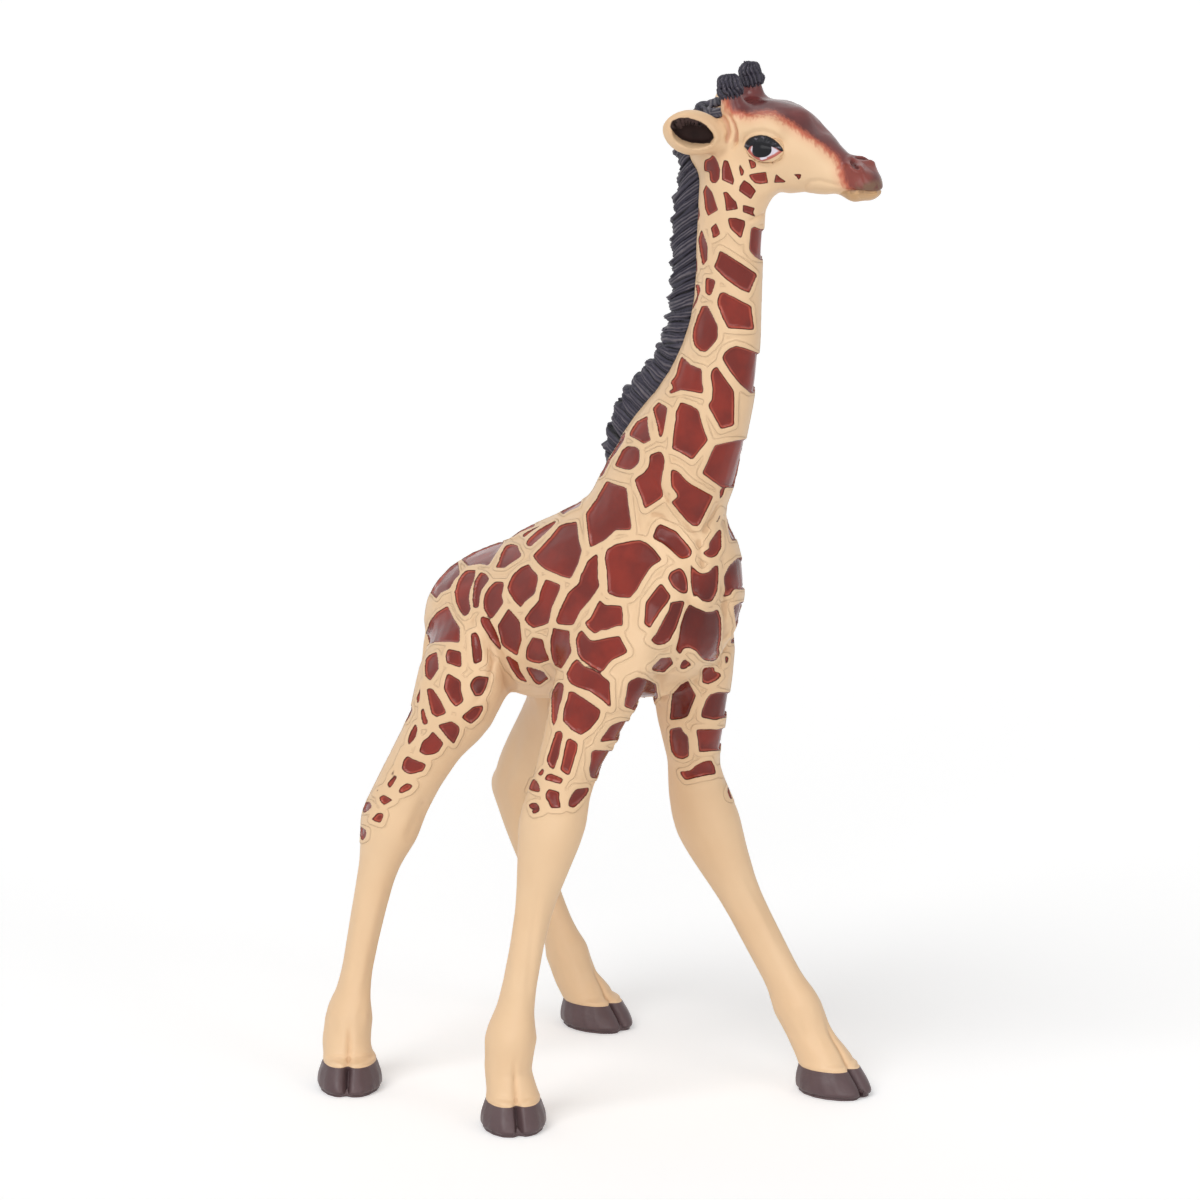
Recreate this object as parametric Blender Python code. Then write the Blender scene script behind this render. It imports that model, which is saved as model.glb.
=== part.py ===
"""A toy giraffe calf of moulded soft plastic, standing with its legs splayed.

The whole animal is first sculpted as one master form: a trunk, a neck, a head and four legs, merged
into one smooth skin. The master is then cut into the mouldings, which push together with round pegs.
Mane, ears, horn tufts, eyes, tail and hooves are pieces of their own.

Metres, +Z up. The animal looks along +X, its left side is +Y, and it stands on Z = 0.
"""

import bmesh
import bpy
import numpy as np
from mathutils import Matrix, Vector

# Trunk
TRUNK_LENGTH = 0.0550
TRUNK_DEPTH = 0.0310
TRUNK_WIDTH = 0.0256
SHOULDER_HEIGHT = 0.0820
HIP_HEIGHT = 0.0740

# Neck
NECK_LENGTH = 0.0600
NECK_DEPTH = 0.0230
NECK_WIDTH = 0.0164

# Head
HEAD_LENGTH = 0.0274
HEAD_DEPTH = 0.0138
HEAD_WIDTH = 0.0110
HEAD_TURN = 20.0
HEAD_ROLL = 5.0
EYE_WIDTH = 0.0052
EYE_HEIGHT = 0.0036
EYE_THICKNESS = 0.0030
EAR_LENGTH = 0.0088
EAR_WIDTH = 0.0064
EAR_THICKNESS = 0.0040
HORN_LENGTH = 0.0054
HORN_WIDTH = 0.0040
HORN_SPACING = 0.0060

# Legs
STEP_LENGTH = 0.0400
STANCE_WIDTH = 0.0480
FORELEG_THICKNESS = 0.0096
HINDLEG_THICKNESS = 0.0090

# Hooves
HOOF_HEIGHT = 0.0044
HOOF_LENGTH = 0.0117
HOOF_WIDTH = 0.0092
CLEFT_WIDTH = 0.0007
CLEFT_LENGTH = 0.0044

# Mane and tail
MANE_HEIGHT = 0.0050
MANE_WIDTH = 0.0034
TAIL_LENGTH = 0.0200
TAIL_THICKNESS = 0.0032
TUFT_LENGTH = 0.0080
TUFT_THICKNESS = 0.0044

# Fits between the mouldings
JOINT_GAP = 0.0003
CUT_DROP = 0.0011
LEG_PEG_RADIUS = 0.0022
LEG_PEG_LENGTH = 0.0045
HOOF_PEG_RADIUS = 0.0013
HOOF_PEG_LENGTH = 0.0018
NECK_PEG_RADIUS = 0.0034
NECK_PEG_LENGTH = 0.0055
HEAD_PEG_RADIUS = 0.0018
HEAD_PEG_LENGTH = 0.0040
PEG_ROOT = 0.0015
OVERRUN = 0.0300

# Fineness of the sculpted skin
SKIN_GRAIN = 0.0007
DETAIL_GRAIN = 0.0005
FILL_RATE = 0.6
FILL_ROUNDS = 60
SMOOTH_RATE = 0.5
SMOOTH_ROUNDS = 6
BODY_KEEP_SHARE = 0.080
HEAD_KEEP_SHARE = 0.095

# Sides of the rings, and steps from one station to the next, in the master and in a small piece
MASTER_AROUND = 28
MASTER_STEPS = 3
AROUND = 16
STEPS = 2

# Steps from one station to the next where a place is looked up along a line
LINE_STEPS = 20

# Trunk stations, rump to chest: place along the length, height of the centre off the line from the
# hips to the shoulders in trunk depths, half depth and half width.
TRUNK_SHARES = [
    (-0.745, -0.342, 0.071, 0.105),
    (-0.705, -0.354, 0.165, 0.235),
    (-0.636, -0.307, 0.239, 0.385),
    (-0.545, -0.222, 0.297, 0.455),
    (-0.400, -0.204, 0.387, 0.490),
    (-0.218, -0.214, 0.435, 0.500),
    (-0.055, -0.223, 0.490, 0.477),
    (0.073, -0.206, 0.460, 0.418),
    (0.164, -0.219, 0.380, 0.345),
    (0.222, -0.232, 0.255, 0.236),
    (0.247, -0.237, 0.115, 0.122),
]
HIP_LINE_SHARE = -0.400

# Where the neck leaves the trunk: along it, and up from the shoulders in trunk depths.
NECK_ROOT_SHARES = (-0.011, -0.063)

# Neck stations, trunk to skull: forward, sideways and up from there along the neck's length, half
# depth and half width.
NECK_SHARES = [
    (-0.006, 0.000, 0.000, 0.490, 0.560),
    (0.042, 0.000, 0.133, 0.420, 0.476),
    (0.112, 0.000, 0.250, 0.387, 0.427),
    (0.172, 0.000, 0.350, 0.326, 0.354),
    (0.217, 0.000, 0.450, 0.278, 0.293),
    (0.245, 0.000, 0.550, 0.239, 0.256),
    (0.260, -0.003, 0.650, 0.217, 0.238),
    (0.267, -0.007, 0.750, 0.217, 0.238),
    (0.275, -0.010, 0.833, 0.222, 0.244),
    (0.287, -0.013, 0.917, 0.222, 0.250),
    (0.293, -0.013, 0.983, 0.174, 0.213),
]

# How far the back of the jaw lies behind, right of and below the neck's end, in head depths.
SKULL_OVERLAP_SHARES = (0.490, -0.140, 0.522)

# Head stations, back of the skull to the nose: place along the length, height of the centre above
# the jaw, half depth and half width.
HEAD_SHARES = [
    (-0.020, 0.478, 0.217, 0.200),
    (0.060, 0.500, 0.350, 0.345),
    (0.139, 0.515, 0.430, 0.436),
    (0.277, 0.478, 0.500, 0.491),
    (0.420, 0.507, 0.486, 0.500),
    (0.529, 0.486, 0.457, 0.445),
    (0.613, 0.432, 0.382, 0.382),
    (0.697, 0.350, 0.280, 0.318),
    (0.781, 0.290, 0.222, 0.282),
    (0.865, 0.232, 0.210, 0.291),
    (0.931, 0.190, 0.159, 0.255),
    (0.985, 0.135, 0.043, 0.091),
]

# Swellings on the head: place along the length, sideways, height, and the three half sizes as
# shares of the head's length, width and depth.
BROW_SHARES = (0.400, 0.370, 0.760, 0.160, 0.150, 0.170)
CHEEK_SHARES = (0.300, 0.300, 0.240, 0.200, 0.190, 0.230)
LIP_SHARES = (0.880, 0.000, 0.190, 0.110, 0.270, 0.180)
NOSTRIL_SHARES = (0.860, 0.170, 0.360, 0.080, 0.110, 0.110)
FOREHEAD_SHARES = (0.470, 0.000, 0.820, 0.180, 0.250, 0.150)

# Where the shoulder and the hip joints lie along the trunk.
SHOULDER_SHARE = 0.080
HIP_SHARE = -0.527

# Joints of each leg from the top down: forward from the shoulder or hip in step lengths, sideways
# in stance widths, and up in shares of the shoulder's or the hip's height. A foreleg has shoulder,
# elbow, knee, fetlock and coronet; a hind leg has hip, stifle, hock, fetlock and coronet.
FRONT_RIGHT_SHARES = [
    (0.000, -0.150, 0.950),
    (-0.128, -0.240, 0.723),
    (-0.205, -0.323, 0.532),
    (-0.302, -0.417, 0.151),
    (-0.280, -0.427, 0.043),
]
FRONT_LEFT_SHARES = [
    (-0.060, 0.150, 0.940),
    (-0.140, 0.195, 0.682),
    (-0.170, 0.294, 0.465),
    (0.112, 0.437, 0.145),
    (0.225, 0.469, 0.040),
]
HIND_RIGHT_SHARES = [
    (0.000, -0.160, 0.910),
    (0.103, -0.275, 0.789),
    (-0.133, -0.375, 0.511),
    (-0.223, -0.479, 0.130),
    (-0.193, -0.500, 0.027),
]
HIND_LEFT_SHARES = [
    (0.015, 0.150, 0.910),
    (0.025, 0.230, 0.720),
    (-0.335, 0.333, 0.470),
    (-0.200, 0.417, 0.147),
    (-0.123, 0.458, 0.040),
]

# Leg stations: joint number, half depth and half width as shares of the leg's thickness.
FRONT_RIGHT_SECTION_SHARES = [
    (0.00, 0.560, 0.280),
    (0.50, 0.820, 0.470),
    (1.00, 0.620, 0.500),
    (1.40, 0.500, 0.450),
    (1.75, 0.450, 0.430),
    (2.00, 0.520, 0.460),
    (2.20, 0.430, 0.380),
    (2.40, 0.300, 0.270),
    (2.60, 0.285, 0.225),
    (2.80, 0.300, 0.250),
    (2.90, 0.360, 0.310),
    (3.00, 0.400, 0.375),
    (3.30, 0.360, 0.330),
    (3.60, 0.320, 0.325),
    (4.00, 0.370, 0.350),
    (4.30, 0.370, 0.350),
]
FRONT_LEFT_SECTION_SHARES = [
    (0.00, 0.520, 0.280),
    (0.50, 0.740, 0.460),
    (1.00, 0.600, 0.450),
    (1.30, 0.485, 0.385),
    (1.50, 0.435, 0.340),
    (1.75, 0.500, 0.390),
    (2.00, 0.560, 0.430),
    (2.20, 0.465, 0.355),
    (2.40, 0.355, 0.275),
    (2.60, 0.340, 0.250),
    (2.80, 0.330, 0.250),
    (2.90, 0.360, 0.280),
    (3.00, 0.400, 0.320),
    (3.30, 0.330, 0.300),
    (3.60, 0.340, 0.310),
    (4.00, 0.390, 0.340),
    (4.30, 0.390, 0.340),
]
HIND_RIGHT_SECTION_SHARES = [
    (0.00, 0.740, 0.400),
    (0.50, 0.980, 0.540),
    (1.00, 0.810, 0.540),
    (1.22, 0.700, 0.490),
    (1.40, 0.570, 0.410),
    (1.65, 0.520, 0.395),
    (1.85, 0.520, 0.395),
    (2.00, 0.545, 0.390),
    (2.10, 0.470, 0.350),
    (2.22, 0.360, 0.290),
    (2.40, 0.320, 0.250),
    (2.70, 0.290, 0.222),
    (2.86, 0.340, 0.265),
    (3.00, 0.410, 0.355),
    (3.40, 0.367, 0.333),
    (3.80, 0.390, 0.355),
    (4.00, 0.400, 0.367),
    (4.30, 0.400, 0.367),
]
HIND_LEFT_SECTION_SHARES = [
    (0.00, 0.740, 0.400),
    (0.50, 0.960, 0.540),
    (1.00, 0.780, 0.530),
    (1.30, 0.640, 0.440),
    (1.65, 0.530, 0.400),
    (1.85, 0.520, 0.400),
    (2.00, 0.500, 0.400),
    (2.20, 0.400, 0.320),
    (2.40, 0.310, 0.255),
    (2.60, 0.290, 0.233),
    (2.80, 0.305, 0.245),
    (2.90, 0.340, 0.285),
    (3.00, 0.390, 0.333),
    (3.40, 0.345, 0.310),
    (3.70, 0.355, 0.322),
    (4.00, 0.400, 0.355),
    (4.30, 0.400, 0.355),
]

# Each leg's joints, its sections and the way its toe points, in degrees from straight ahead.
LEGS = {
    "front_right": (FRONT_RIGHT_SHARES, FRONT_RIGHT_SECTION_SHARES, -42.0),
    "front_left": (FRONT_LEFT_SHARES, FRONT_LEFT_SECTION_SHARES, 2.0),
    "hind_right": (HIND_RIGHT_SHARES, HIND_RIGHT_SECTION_SHARES, -45.0),
    "hind_left": (HIND_LEFT_SHARES, HIND_LEFT_SECTION_SHARES, 0.0),
}

# The heel bone behind each hock: shift forward, rise, half length, half width and half height as
# shares of the hind leg's thickness.
HEEL_SHARES = (-0.330, 0.080, 0.250, 0.260, 0.400)

# Hoof rings, sole to coronet: height, half length, half width and forward shift.
HOOF_SHARES = [
    (0.00, 0.470, 0.470, 0.100),
    (0.16, 0.500, 0.500, 0.100),
    (0.50, 0.450, 0.475, 0.060),
    (0.80, 0.385, 0.420, 0.025),
    (1.00, 0.345, 0.385, 0.005),
]

# Ear stations, root to tip: place along the length, half width and half thickness.
EAR_SHARES = [
    (-0.18, 0.190, 0.300),
    (0.05, 0.270, 0.380),
    (0.28, 0.430, 0.480),
    (0.55, 0.500, 0.500),
    (0.78, 0.420, 0.420),
    (0.93, 0.250, 0.280),
    (1.00, 0.080, 0.100),
]
# The hollow of an ear: place along it, rise of its centre, half length, half width and half depth.
EAR_CUP_SHARES = (0.560, 0.500, 0.360, 0.300, 0.670)
EAR_ROOT_SHARES = (0.230, 0.400, 0.660)

# Where a horn and an eye sit on the head: along, sideways and up.
HORN_FOOT_SHARES = (0.265, 0.820)
EYE_SHARES = (0.450, 0.425, 0.605)

# A horn's stump and the tuft round it: place along the horn and radius.
STUMP_SHARES = [
    (-0.20, 0.620),
    (0.20, 0.500),
    (0.60, 0.380),
    (0.90, 0.300),
]
HORN_TUFT_SHARES = [
    (0.42, 0.360),
    (0.55, 0.470),
    (0.80, 0.500),
    (1.05, 0.460),
    (1.22, 0.330),
    (1.30, 0.120),
]

# Directions in the head's own axes, forward, outward and up.
HORN_DIRECTION = (-0.12, 0.10, 1.00)
EAR_DIRECTION = (-0.80, 0.55, 0.26)
EAR_OPENING = (0.46, 0.88, -0.06)
EYE_LOOK = (0.30, 1.00, 0.06)
EYE_SLANT = (1.00, 0.00, -0.10)

# Mane stations, withers to poll: neck station beside it, rise of its centre off the neck's back,
# half height and half width.
MANE_SHARES = [
    (0.88, -0.220, 0.260, 0.260),
    (1.25, 0.080, 0.480, 0.400),
    (2.00, 0.220, 0.580, 0.470),
    (3.00, 0.150, 0.600, 0.500),
    (4.00, 0.130, 0.600, 0.500),
    (5.00, 0.300, 0.600, 0.500),
    (6.00, 0.380, 0.600, 0.500),
    (7.00, 0.380, 0.600, 0.500),
    (8.00, 0.340, 0.600, 0.500),
    (8.80, 0.240, 0.560, 0.500),
]

# Mane stations over the back of the skull: along, sideways and up in the head's sizes, then half
# height and half width as before.
POLL_SHARES = [
    (-0.020, 0.000, 0.500, 0.440, 0.480),
    (0.035, 0.000, 0.730, 0.360, 0.440),
    (0.110, 0.000, 0.850, 0.280, 0.360),
    (0.170, 0.000, 0.910, 0.160, 0.240),
]

# Where the tail leaves the rump: along the trunk, and up from the hips in trunk depths.
TAIL_ROOT_SHARES = (-0.722, -0.234)

# Tail stations, root to end: backward, sideways and down along the tail's length, half thickness.
TAIL_SHARES = [
    (0.120, 0.000, 0.090, 0.560),
    (-0.060, 0.000, -0.030, 0.540),
    (-0.160, -0.010, -0.230, 0.480),
    (-0.190, -0.040, -0.500, 0.420),
    (-0.190, -0.090, -0.760, 0.370),
    (-0.180, -0.150, -1.020, 0.330),
]
TUFT_SHARES = [
    (0.00, 0.320),
    (0.22, 0.500),
    (0.50, 0.480),
    (0.80, 0.260),
    (1.00, 0.060),
]

# Colour and roughness of the plastics
COAT = ((0.86, 0.66, 0.42), 0.45)
HAIR = ((0.030, 0.030, 0.042), 0.55)
HOOF_HORN = ((0.070, 0.045, 0.042), 0.45)
EYE_GLOSS = ((0.008, 0.008, 0.010), 0.12)
SMOOTH_ANGLE = 40.0


def material(name, colour, roughness):
    """A plain plastic of one colour."""
    made = bpy.data.materials.new(name)
    made.use_nodes = True
    shader = made.node_tree.nodes["Principled BSDF"]
    shader.inputs["Base Color"].default_value = (*colour, 1.0)
    shader.inputs["Roughness"].default_value = roughness
    shader.inputs["Metallic"].default_value = 0.0
    return made


def add_object(name, mesh, helper=False):
    """An object in the scene. A helper only shapes other pieces and isn't one itself."""
    made = bpy.data.objects.new(name, mesh)
    bpy.context.scene.collection.objects.link(made)
    if helper:
        made.hide_render = True
        made.display_type = "WIRE"
    return made


def added_form(name, form, helper):
    """Turns a bmesh into an object and frees it."""
    mesh = bpy.data.meshes.new(name)
    form.to_mesh(mesh)
    form.free()
    return add_object(name, mesh, helper)


def evened(rows, steps):
    """The rows of a station table with Catmull-Rom rows between them, steps to each span."""
    table = np.array(rows, float)
    padded = np.vstack([2 * table[0] - table[1], table, 2 * table[-1] - table[-2]])
    made = []
    for before, start, end, after in zip(padded, padded[1:], padded[2:], padded[3:]):
        for t in np.arange(steps) / steps:
            made.append(
                0.5
                * (
                    2 * start
                    + (end - before) * t
                    + (2 * before - 5 * start + 4 * end - after) * t**2
                    + (3 * start - before - 3 * end + after) * t**3
                )
            )
    made.append(table[-1])
    return np.array(made)


def ringed(name, rings, helper):
    """A closed object whose skin runs through rings of points."""
    form = bmesh.new()
    loops = [[form.verts.new(point) for point in ring] for ring in rings]
    for lower, upper in zip(loops, loops[1:]):
        for i in range(len(lower)):
            j = (i + 1) % len(lower)
            form.faces.new((lower[i], lower[j], upper[j], upper[i]))
    form.faces.new(reversed(loops[0]))
    form.faces.new(loops[-1])
    bmesh.ops.recalc_face_normals(form, faces=form.faces)
    return added_form(name, form, helper)


def loft(name, centres, depths, widths, side, around=MASTER_AROUND, helper=True):
    """A closed form through elliptical rings. Each ring is square to the line of centres, with its
    width along side."""
    centres = np.array(centres, float)
    tangents = np.gradient(centres, axis=0)
    turns = np.linspace(0, 2 * np.pi, around, endpoint=False)
    rings = []
    for centre, tangent, depth, width in zip(centres, tangents, depths, widths):
        tangent = Vector(tangent).normalized()
        across = Vector(side)
        across = (across - across.dot(tangent) * tangent).normalized()
        back = across.cross(tangent)
        ring = []
        for turn in turns:
            outward = across * float(width * np.cos(turn)) + back * float(depth * np.sin(turn))
            ring.append(Vector(centre) + outward)
        rings.append(ring)
    return ringed(name, rings, helper)


def ellipsoid(name, centre, half_sizes, turned=None, helper=True):
    """A stretched ball. turned is a 3 by 3 rotation."""
    form = bmesh.new()
    bmesh.ops.create_uvsphere(form, u_segments=AROUND, v_segments=AROUND // 2, radius=1)
    place = Matrix.Translation(Vector(centre))
    if turned is not None:
        place = place @ turned.to_4x4()
    bmesh.ops.transform(form, matrix=place @ Matrix.Diagonal((*half_sizes, 1)), verts=form.verts)
    return added_form(name, form, helper)


def peg(name, base, direction, radius, length):
    """A round peg that starts PEG_ROOT inside the piece which carries it."""
    direction = Vector(direction).normalized()
    form = bmesh.new()
    bmesh.ops.create_cone(
        form,
        cap_ends=True,
        segments=AROUND,
        radius1=radius,
        radius2=radius,
        depth=length + PEG_ROOT,
    )
    turned = direction.to_track_quat("Z", "Y").to_matrix().to_4x4()
    middle = Vector(base) + direction * ((length - PEG_ROOT) / 2)
    bmesh.ops.transform(form, matrix=Matrix.Translation(middle) @ turned, verts=form.verts)
    return added_form(name, form, helper=True)


def block(name, low, high, turned=None, centre=None):
    """A box between two corners, turned about centre if that is given."""
    form = bmesh.new()
    bmesh.ops.create_cube(form, size=1)
    low, high = Vector(low), Vector(high)
    place = Matrix.Translation((low + high) / 2) @ Matrix.Diagonal((*(high - low), 1))
    if turned is not None:
        place = Matrix.Translation(Vector(centre)) @ turned.to_4x4() @ place
    bmesh.ops.transform(form, matrix=place, verts=form.verts)
    return added_form(name, form, helper=True)


def boolean(piece, operation, cutter):
    modifier = piece.modifiers.new(operation.lower(), "BOOLEAN")
    modifier.operation = operation
    modifier.object = cutter
    modifier.solver = "EXACT"


def baked(piece, name, helper=False):
    """A new object that holds the evaluated mesh of piece, which is then removed."""
    bpy.context.view_layer.update()
    evaluated = piece.evaluated_get(bpy.context.evaluated_depsgraph_get())
    mesh = bpy.data.meshes.new_from_object(evaluated)
    mesh.transform(piece.matrix_world)
    bpy.data.objects.remove(piece)
    return add_object(name, mesh, helper)


def copied(piece, name, helper=False):
    return add_object(name, piece.data.copy(), helper)


def fill_creases(mesh, rounds):
    """Raises the hollows of a dense skin, so that the forms in it flow into each other."""
    count = len(mesh.vertices)
    flat = np.empty(count * 3, np.float32)
    mesh.vertices.foreach_get("co", flat)
    places = flat.reshape(-1, 3)
    ends = np.empty(len(mesh.edges) * 2, np.int32)
    mesh.edges.foreach_get("vertices", ends)
    first, second = ends.reshape(-1, 2).T
    neighbours = np.bincount(first, minlength=count) + np.bincount(second, minlength=count)
    normals = np.empty(count * 3, np.float32)
    for _ in range(rounds):
        mesh.vertices.foreach_set("co", places.ravel())
        mesh.update()
        mesh.vertex_normals.foreach_get("vector", normals)
        outward = normals.reshape(-1, 3)
        sums = np.zeros((count, 3))
        for axis in range(3):
            sums[:, axis] += np.bincount(first, places[second, axis], count)
            sums[:, axis] += np.bincount(second, places[first, axis], count)
        pull = ((sums / neighbours[:, None] - places) * outward).sum(axis=1)
        places = places + outward * np.clip(pull, 0, None)[:, None] * FILL_RATE
    mesh.vertices.foreach_set("co", places.ravel())
    mesh.update()


def merged(name, forms, grain, keep_share):
    """One smooth skin over overlapping closed forms, thinned to the share of its faces kept."""
    whole = bmesh.new()
    for form in forms:
        whole.from_mesh(form.data)
    mesh = bpy.data.meshes.new(name)
    whole.to_mesh(mesh)
    whole.free()
    for form in forms:
        bpy.data.objects.remove(form)
    skin = add_object(name, mesh, helper=True)
    remesh = skin.modifiers.new("skin", "REMESH")
    remesh.mode = "VOXEL"
    remesh.voxel_size = grain
    smooth = skin.modifiers.new("smooth", "SMOOTH")
    smooth.factor = SMOOTH_RATE
    smooth.iterations = SMOOTH_ROUNDS
    skin = baked(skin, name, helper=True)
    fill_creases(skin.data, FILL_ROUNDS)
    thin = skin.modifiers.new("thin", "DECIMATE")
    thin.ratio = keep_share
    return baked(skin, name, helper=True)


def grown(pieces, name, distance, grain, keep_share):
    """One skin that stands out from pieces by distance, to cut neighbours that rest on them."""
    whole = bmesh.new()
    for piece in pieces:
        whole.from_mesh(piece.data)
    made = added_form(name, whole, helper=True)
    swell = made.modifiers.new("swell", "DISPLACE")
    swell.mid_level = 0.0
    swell.strength = distance
    remesh = made.modifiers.new("skin", "REMESH")
    remesh.mode = "VOXEL"
    remesh.voxel_size = grain
    thin = made.modifiers.new("thin", "DECIMATE")
    thin.ratio = keep_share
    return baked(made, name, helper=True)


def trunk_centres(rows):
    """World places of trunk stations, which follow the line from the hips to the shoulders."""
    made = []
    for row in rows:
        back = min(max(row[0] / HIP_LINE_SHARE, 0), 1)
        line = SHOULDER_HEIGHT + (HIP_HEIGHT - SHOULDER_HEIGHT) * back
        made.append((row[0] * TRUNK_LENGTH, 0, line + row[1] * TRUNK_DEPTH))
    return made


def trunk():
    rows = evened(TRUNK_SHARES, MASTER_STEPS)
    return loft(
        "trunk_form",
        trunk_centres(rows),
        rows[:, 2] * TRUNK_DEPTH,
        rows[:, 3] * TRUNK_WIDTH,
        (0, 1, 0),
    )


def neck_root():
    forward, up = NECK_ROOT_SHARES
    return Vector((forward * TRUNK_LENGTH, 0, SHOULDER_HEIGHT + up * TRUNK_DEPTH))


def neck_centres(rows):
    root = neck_root()
    return [root + Vector(row[:3]) * NECK_LENGTH for row in rows]


def neck():
    rows = evened(NECK_SHARES, MASTER_STEPS)
    return loft(
        "neck_form",
        neck_centres(rows),
        rows[:, 3] * NECK_DEPTH,
        rows[:, 4] * NECK_WIDTH,
        (0, 1, 0),
    )


def head_turned():
    """The head's own axes: forward, left and up."""
    turn = Matrix.Rotation(np.radians(HEAD_TURN), 3, "Z")
    return turn @ Matrix.Rotation(np.radians(HEAD_ROLL), 3, "X")


def head_root():
    """The back of the jaw, from which the head's shares are measured."""
    end = neck_root() + Vector(NECK_SHARES[-1][:3]) * NECK_LENGTH
    return end - head_turned() @ Vector(SKULL_OVERLAP_SHARES) * HEAD_DEPTH


def on_head(along, sideways, up):
    """The world place of a point given in shares of the head's sizes."""
    local = Vector((along * HEAD_LENGTH, sideways * HEAD_WIDTH, up * HEAD_DEPTH))
    return head_root() + head_turned() @ local


def head_swelling(name, shares, side):
    along, sideways, up, length, width, depth = shares
    sizes = (length * HEAD_LENGTH, width * HEAD_WIDTH, depth * HEAD_DEPTH)
    return ellipsoid(name, on_head(along, side * sideways, up), sizes, head_turned())


def head_forms():
    rows = evened(HEAD_SHARES, MASTER_STEPS)
    forms = [
        loft(
            "skull_form",
            [on_head(row[0], 0, row[1]) for row in rows],
            rows[:, 2] * HEAD_DEPTH,
            rows[:, 3] * HEAD_WIDTH,
            head_turned() @ Vector((0, 1, 0)),
        ),
        head_swelling("lip_form", LIP_SHARES, 1),
        head_swelling("forehead_form", FOREHEAD_SHARES, 1),
    ]
    for side in (1, -1):
        forms.append(head_swelling("brow_form", BROW_SHARES, side))
        forms.append(head_swelling("cheek_form", CHEEK_SHARES, side))
        forms.append(head_swelling("nostril_form", NOSTRIL_SHARES, side))
        forms.append(horn_loft("stump_form", side, STUMP_SHARES, MASTER_AROUND, True))
    return forms


def head_direction(shares, side):
    """A direction in the head's axes, mirrored to one side, in the world."""
    forward, outward, up = shares
    return (head_turned() @ Vector((forward, outward * side, up))).normalized()


def horn_foot(side):
    along, up = HORN_FOOT_SHARES
    return on_head(along, side * HORN_SPACING / HEAD_WIDTH / 2, up)


def horn_loft(name, side, shares, around, helper):
    rows = evened(shares, STEPS)
    foot, direction = horn_foot(side), head_direction(HORN_DIRECTION, side)
    places = [foot + direction * float(row[0]) * HORN_LENGTH for row in rows]
    radii = rows[:, 1] * HORN_WIDTH
    return loft(name, places, radii, radii, (0, 1, 0), around, helper)


def leg_sizes(name):
    """A leg's thickness, its top's height, and its top's place along the trunk."""
    if name.startswith("front"):
        return FORELEG_THICKNESS, SHOULDER_HEIGHT, SHOULDER_SHARE * TRUNK_LENGTH
    return HINDLEG_THICKNESS, HIP_HEIGHT, HIP_SHARE * TRUNK_LENGTH


def leg_joints(name):
    """World places of the five joints of a leg."""
    _, height, place = leg_sizes(name)
    scale = Vector((STEP_LENGTH, STANCE_WIDTH, height))
    return [Vector((place, 0, 0)) + Vector(row) * scale for row in LEGS[name][0]]


def leg_line(name, numbers):
    """Places along a leg, where 0 is the first joint, 1 the second and so on."""
    joints = np.array([tuple(joint) for joint in leg_joints(name)])
    fine = evened(joints, LINE_STEPS)
    marks = np.linspace(0, len(joints) - 1, len(fine))
    beyond = np.clip(numbers - (len(joints) - 1), 0, None)[:, None]
    inside = np.stack([np.interp(numbers, marks, fine[:, k]) for k in range(3)], axis=1)
    return inside + beyond * (joints[-1] - joints[-2])


def heel(name):
    """The heel bone of a hind leg."""
    hock, fetlock = leg_joints(name)[2:4]
    up = (hock - fetlock).normalized()
    back = up.cross(Vector((0, 1, 0))).normalized()
    shift, rise, *sizes = (share * HINDLEG_THICKNESS for share in HEEL_SHARES)
    turned = Matrix((-back, Vector((0, 1, 0)), up)).transposed()
    return ellipsoid(name + "_heel", hock - back * shift + up * rise, sizes, turned)


def leg(name):
    thickness, _, _ = leg_sizes(name)
    rows = evened(LEGS[name][1], MASTER_STEPS)
    return loft(
        name + "_form",
        leg_line(name, rows[:, 0]),
        rows[:, 1] * thickness,
        rows[:, 2] * thickness,
        (0, 1, 0),
    )


def hoof_place(name):
    """The middle of the coronet, dropped to the ground, and the way that the hoof points."""
    coronet = leg_joints(name)[-1]
    yaw = Matrix.Rotation(np.radians(LEGS[name][2]), 3, "Z")
    return Vector((coronet.x, coronet.y, 0)), yaw


def hoof(name):
    """A cloven hoof: a ringed form that spreads to its sole, split at the toe."""
    place, yaw = hoof_place(name)
    turns = np.linspace(0, 2 * np.pi, AROUND, endpoint=False)
    rings = []
    for up, half_length, half_width, forward in evened(HOOF_SHARES, STEPS):
        ring = []
        for turn in turns:
            along = (forward + half_length * np.cos(turn)) * HOOF_LENGTH
            across = half_width * np.sin(turn) * HOOF_WIDTH
            ring.append(place + yaw @ Vector((along, across, up * HOOF_HEIGHT)))
        rings.append(ring)
    made = ringed(name + "_hoof_form", rings, helper=False)
    toe = (HOOF_SHARES[1][1] + HOOF_SHARES[1][3]) * HOOF_LENGTH
    cleft = block(
        name + "_cleft",
        (toe - CLEFT_LENGTH, -CLEFT_WIDTH / 2, -OVERRUN),
        (toe + OVERRUN, CLEFT_WIDTH / 2, OVERRUN),
        yaw,
        place,
    )
    boolean(made, "DIFFERENCE", cleft)
    return made


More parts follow.
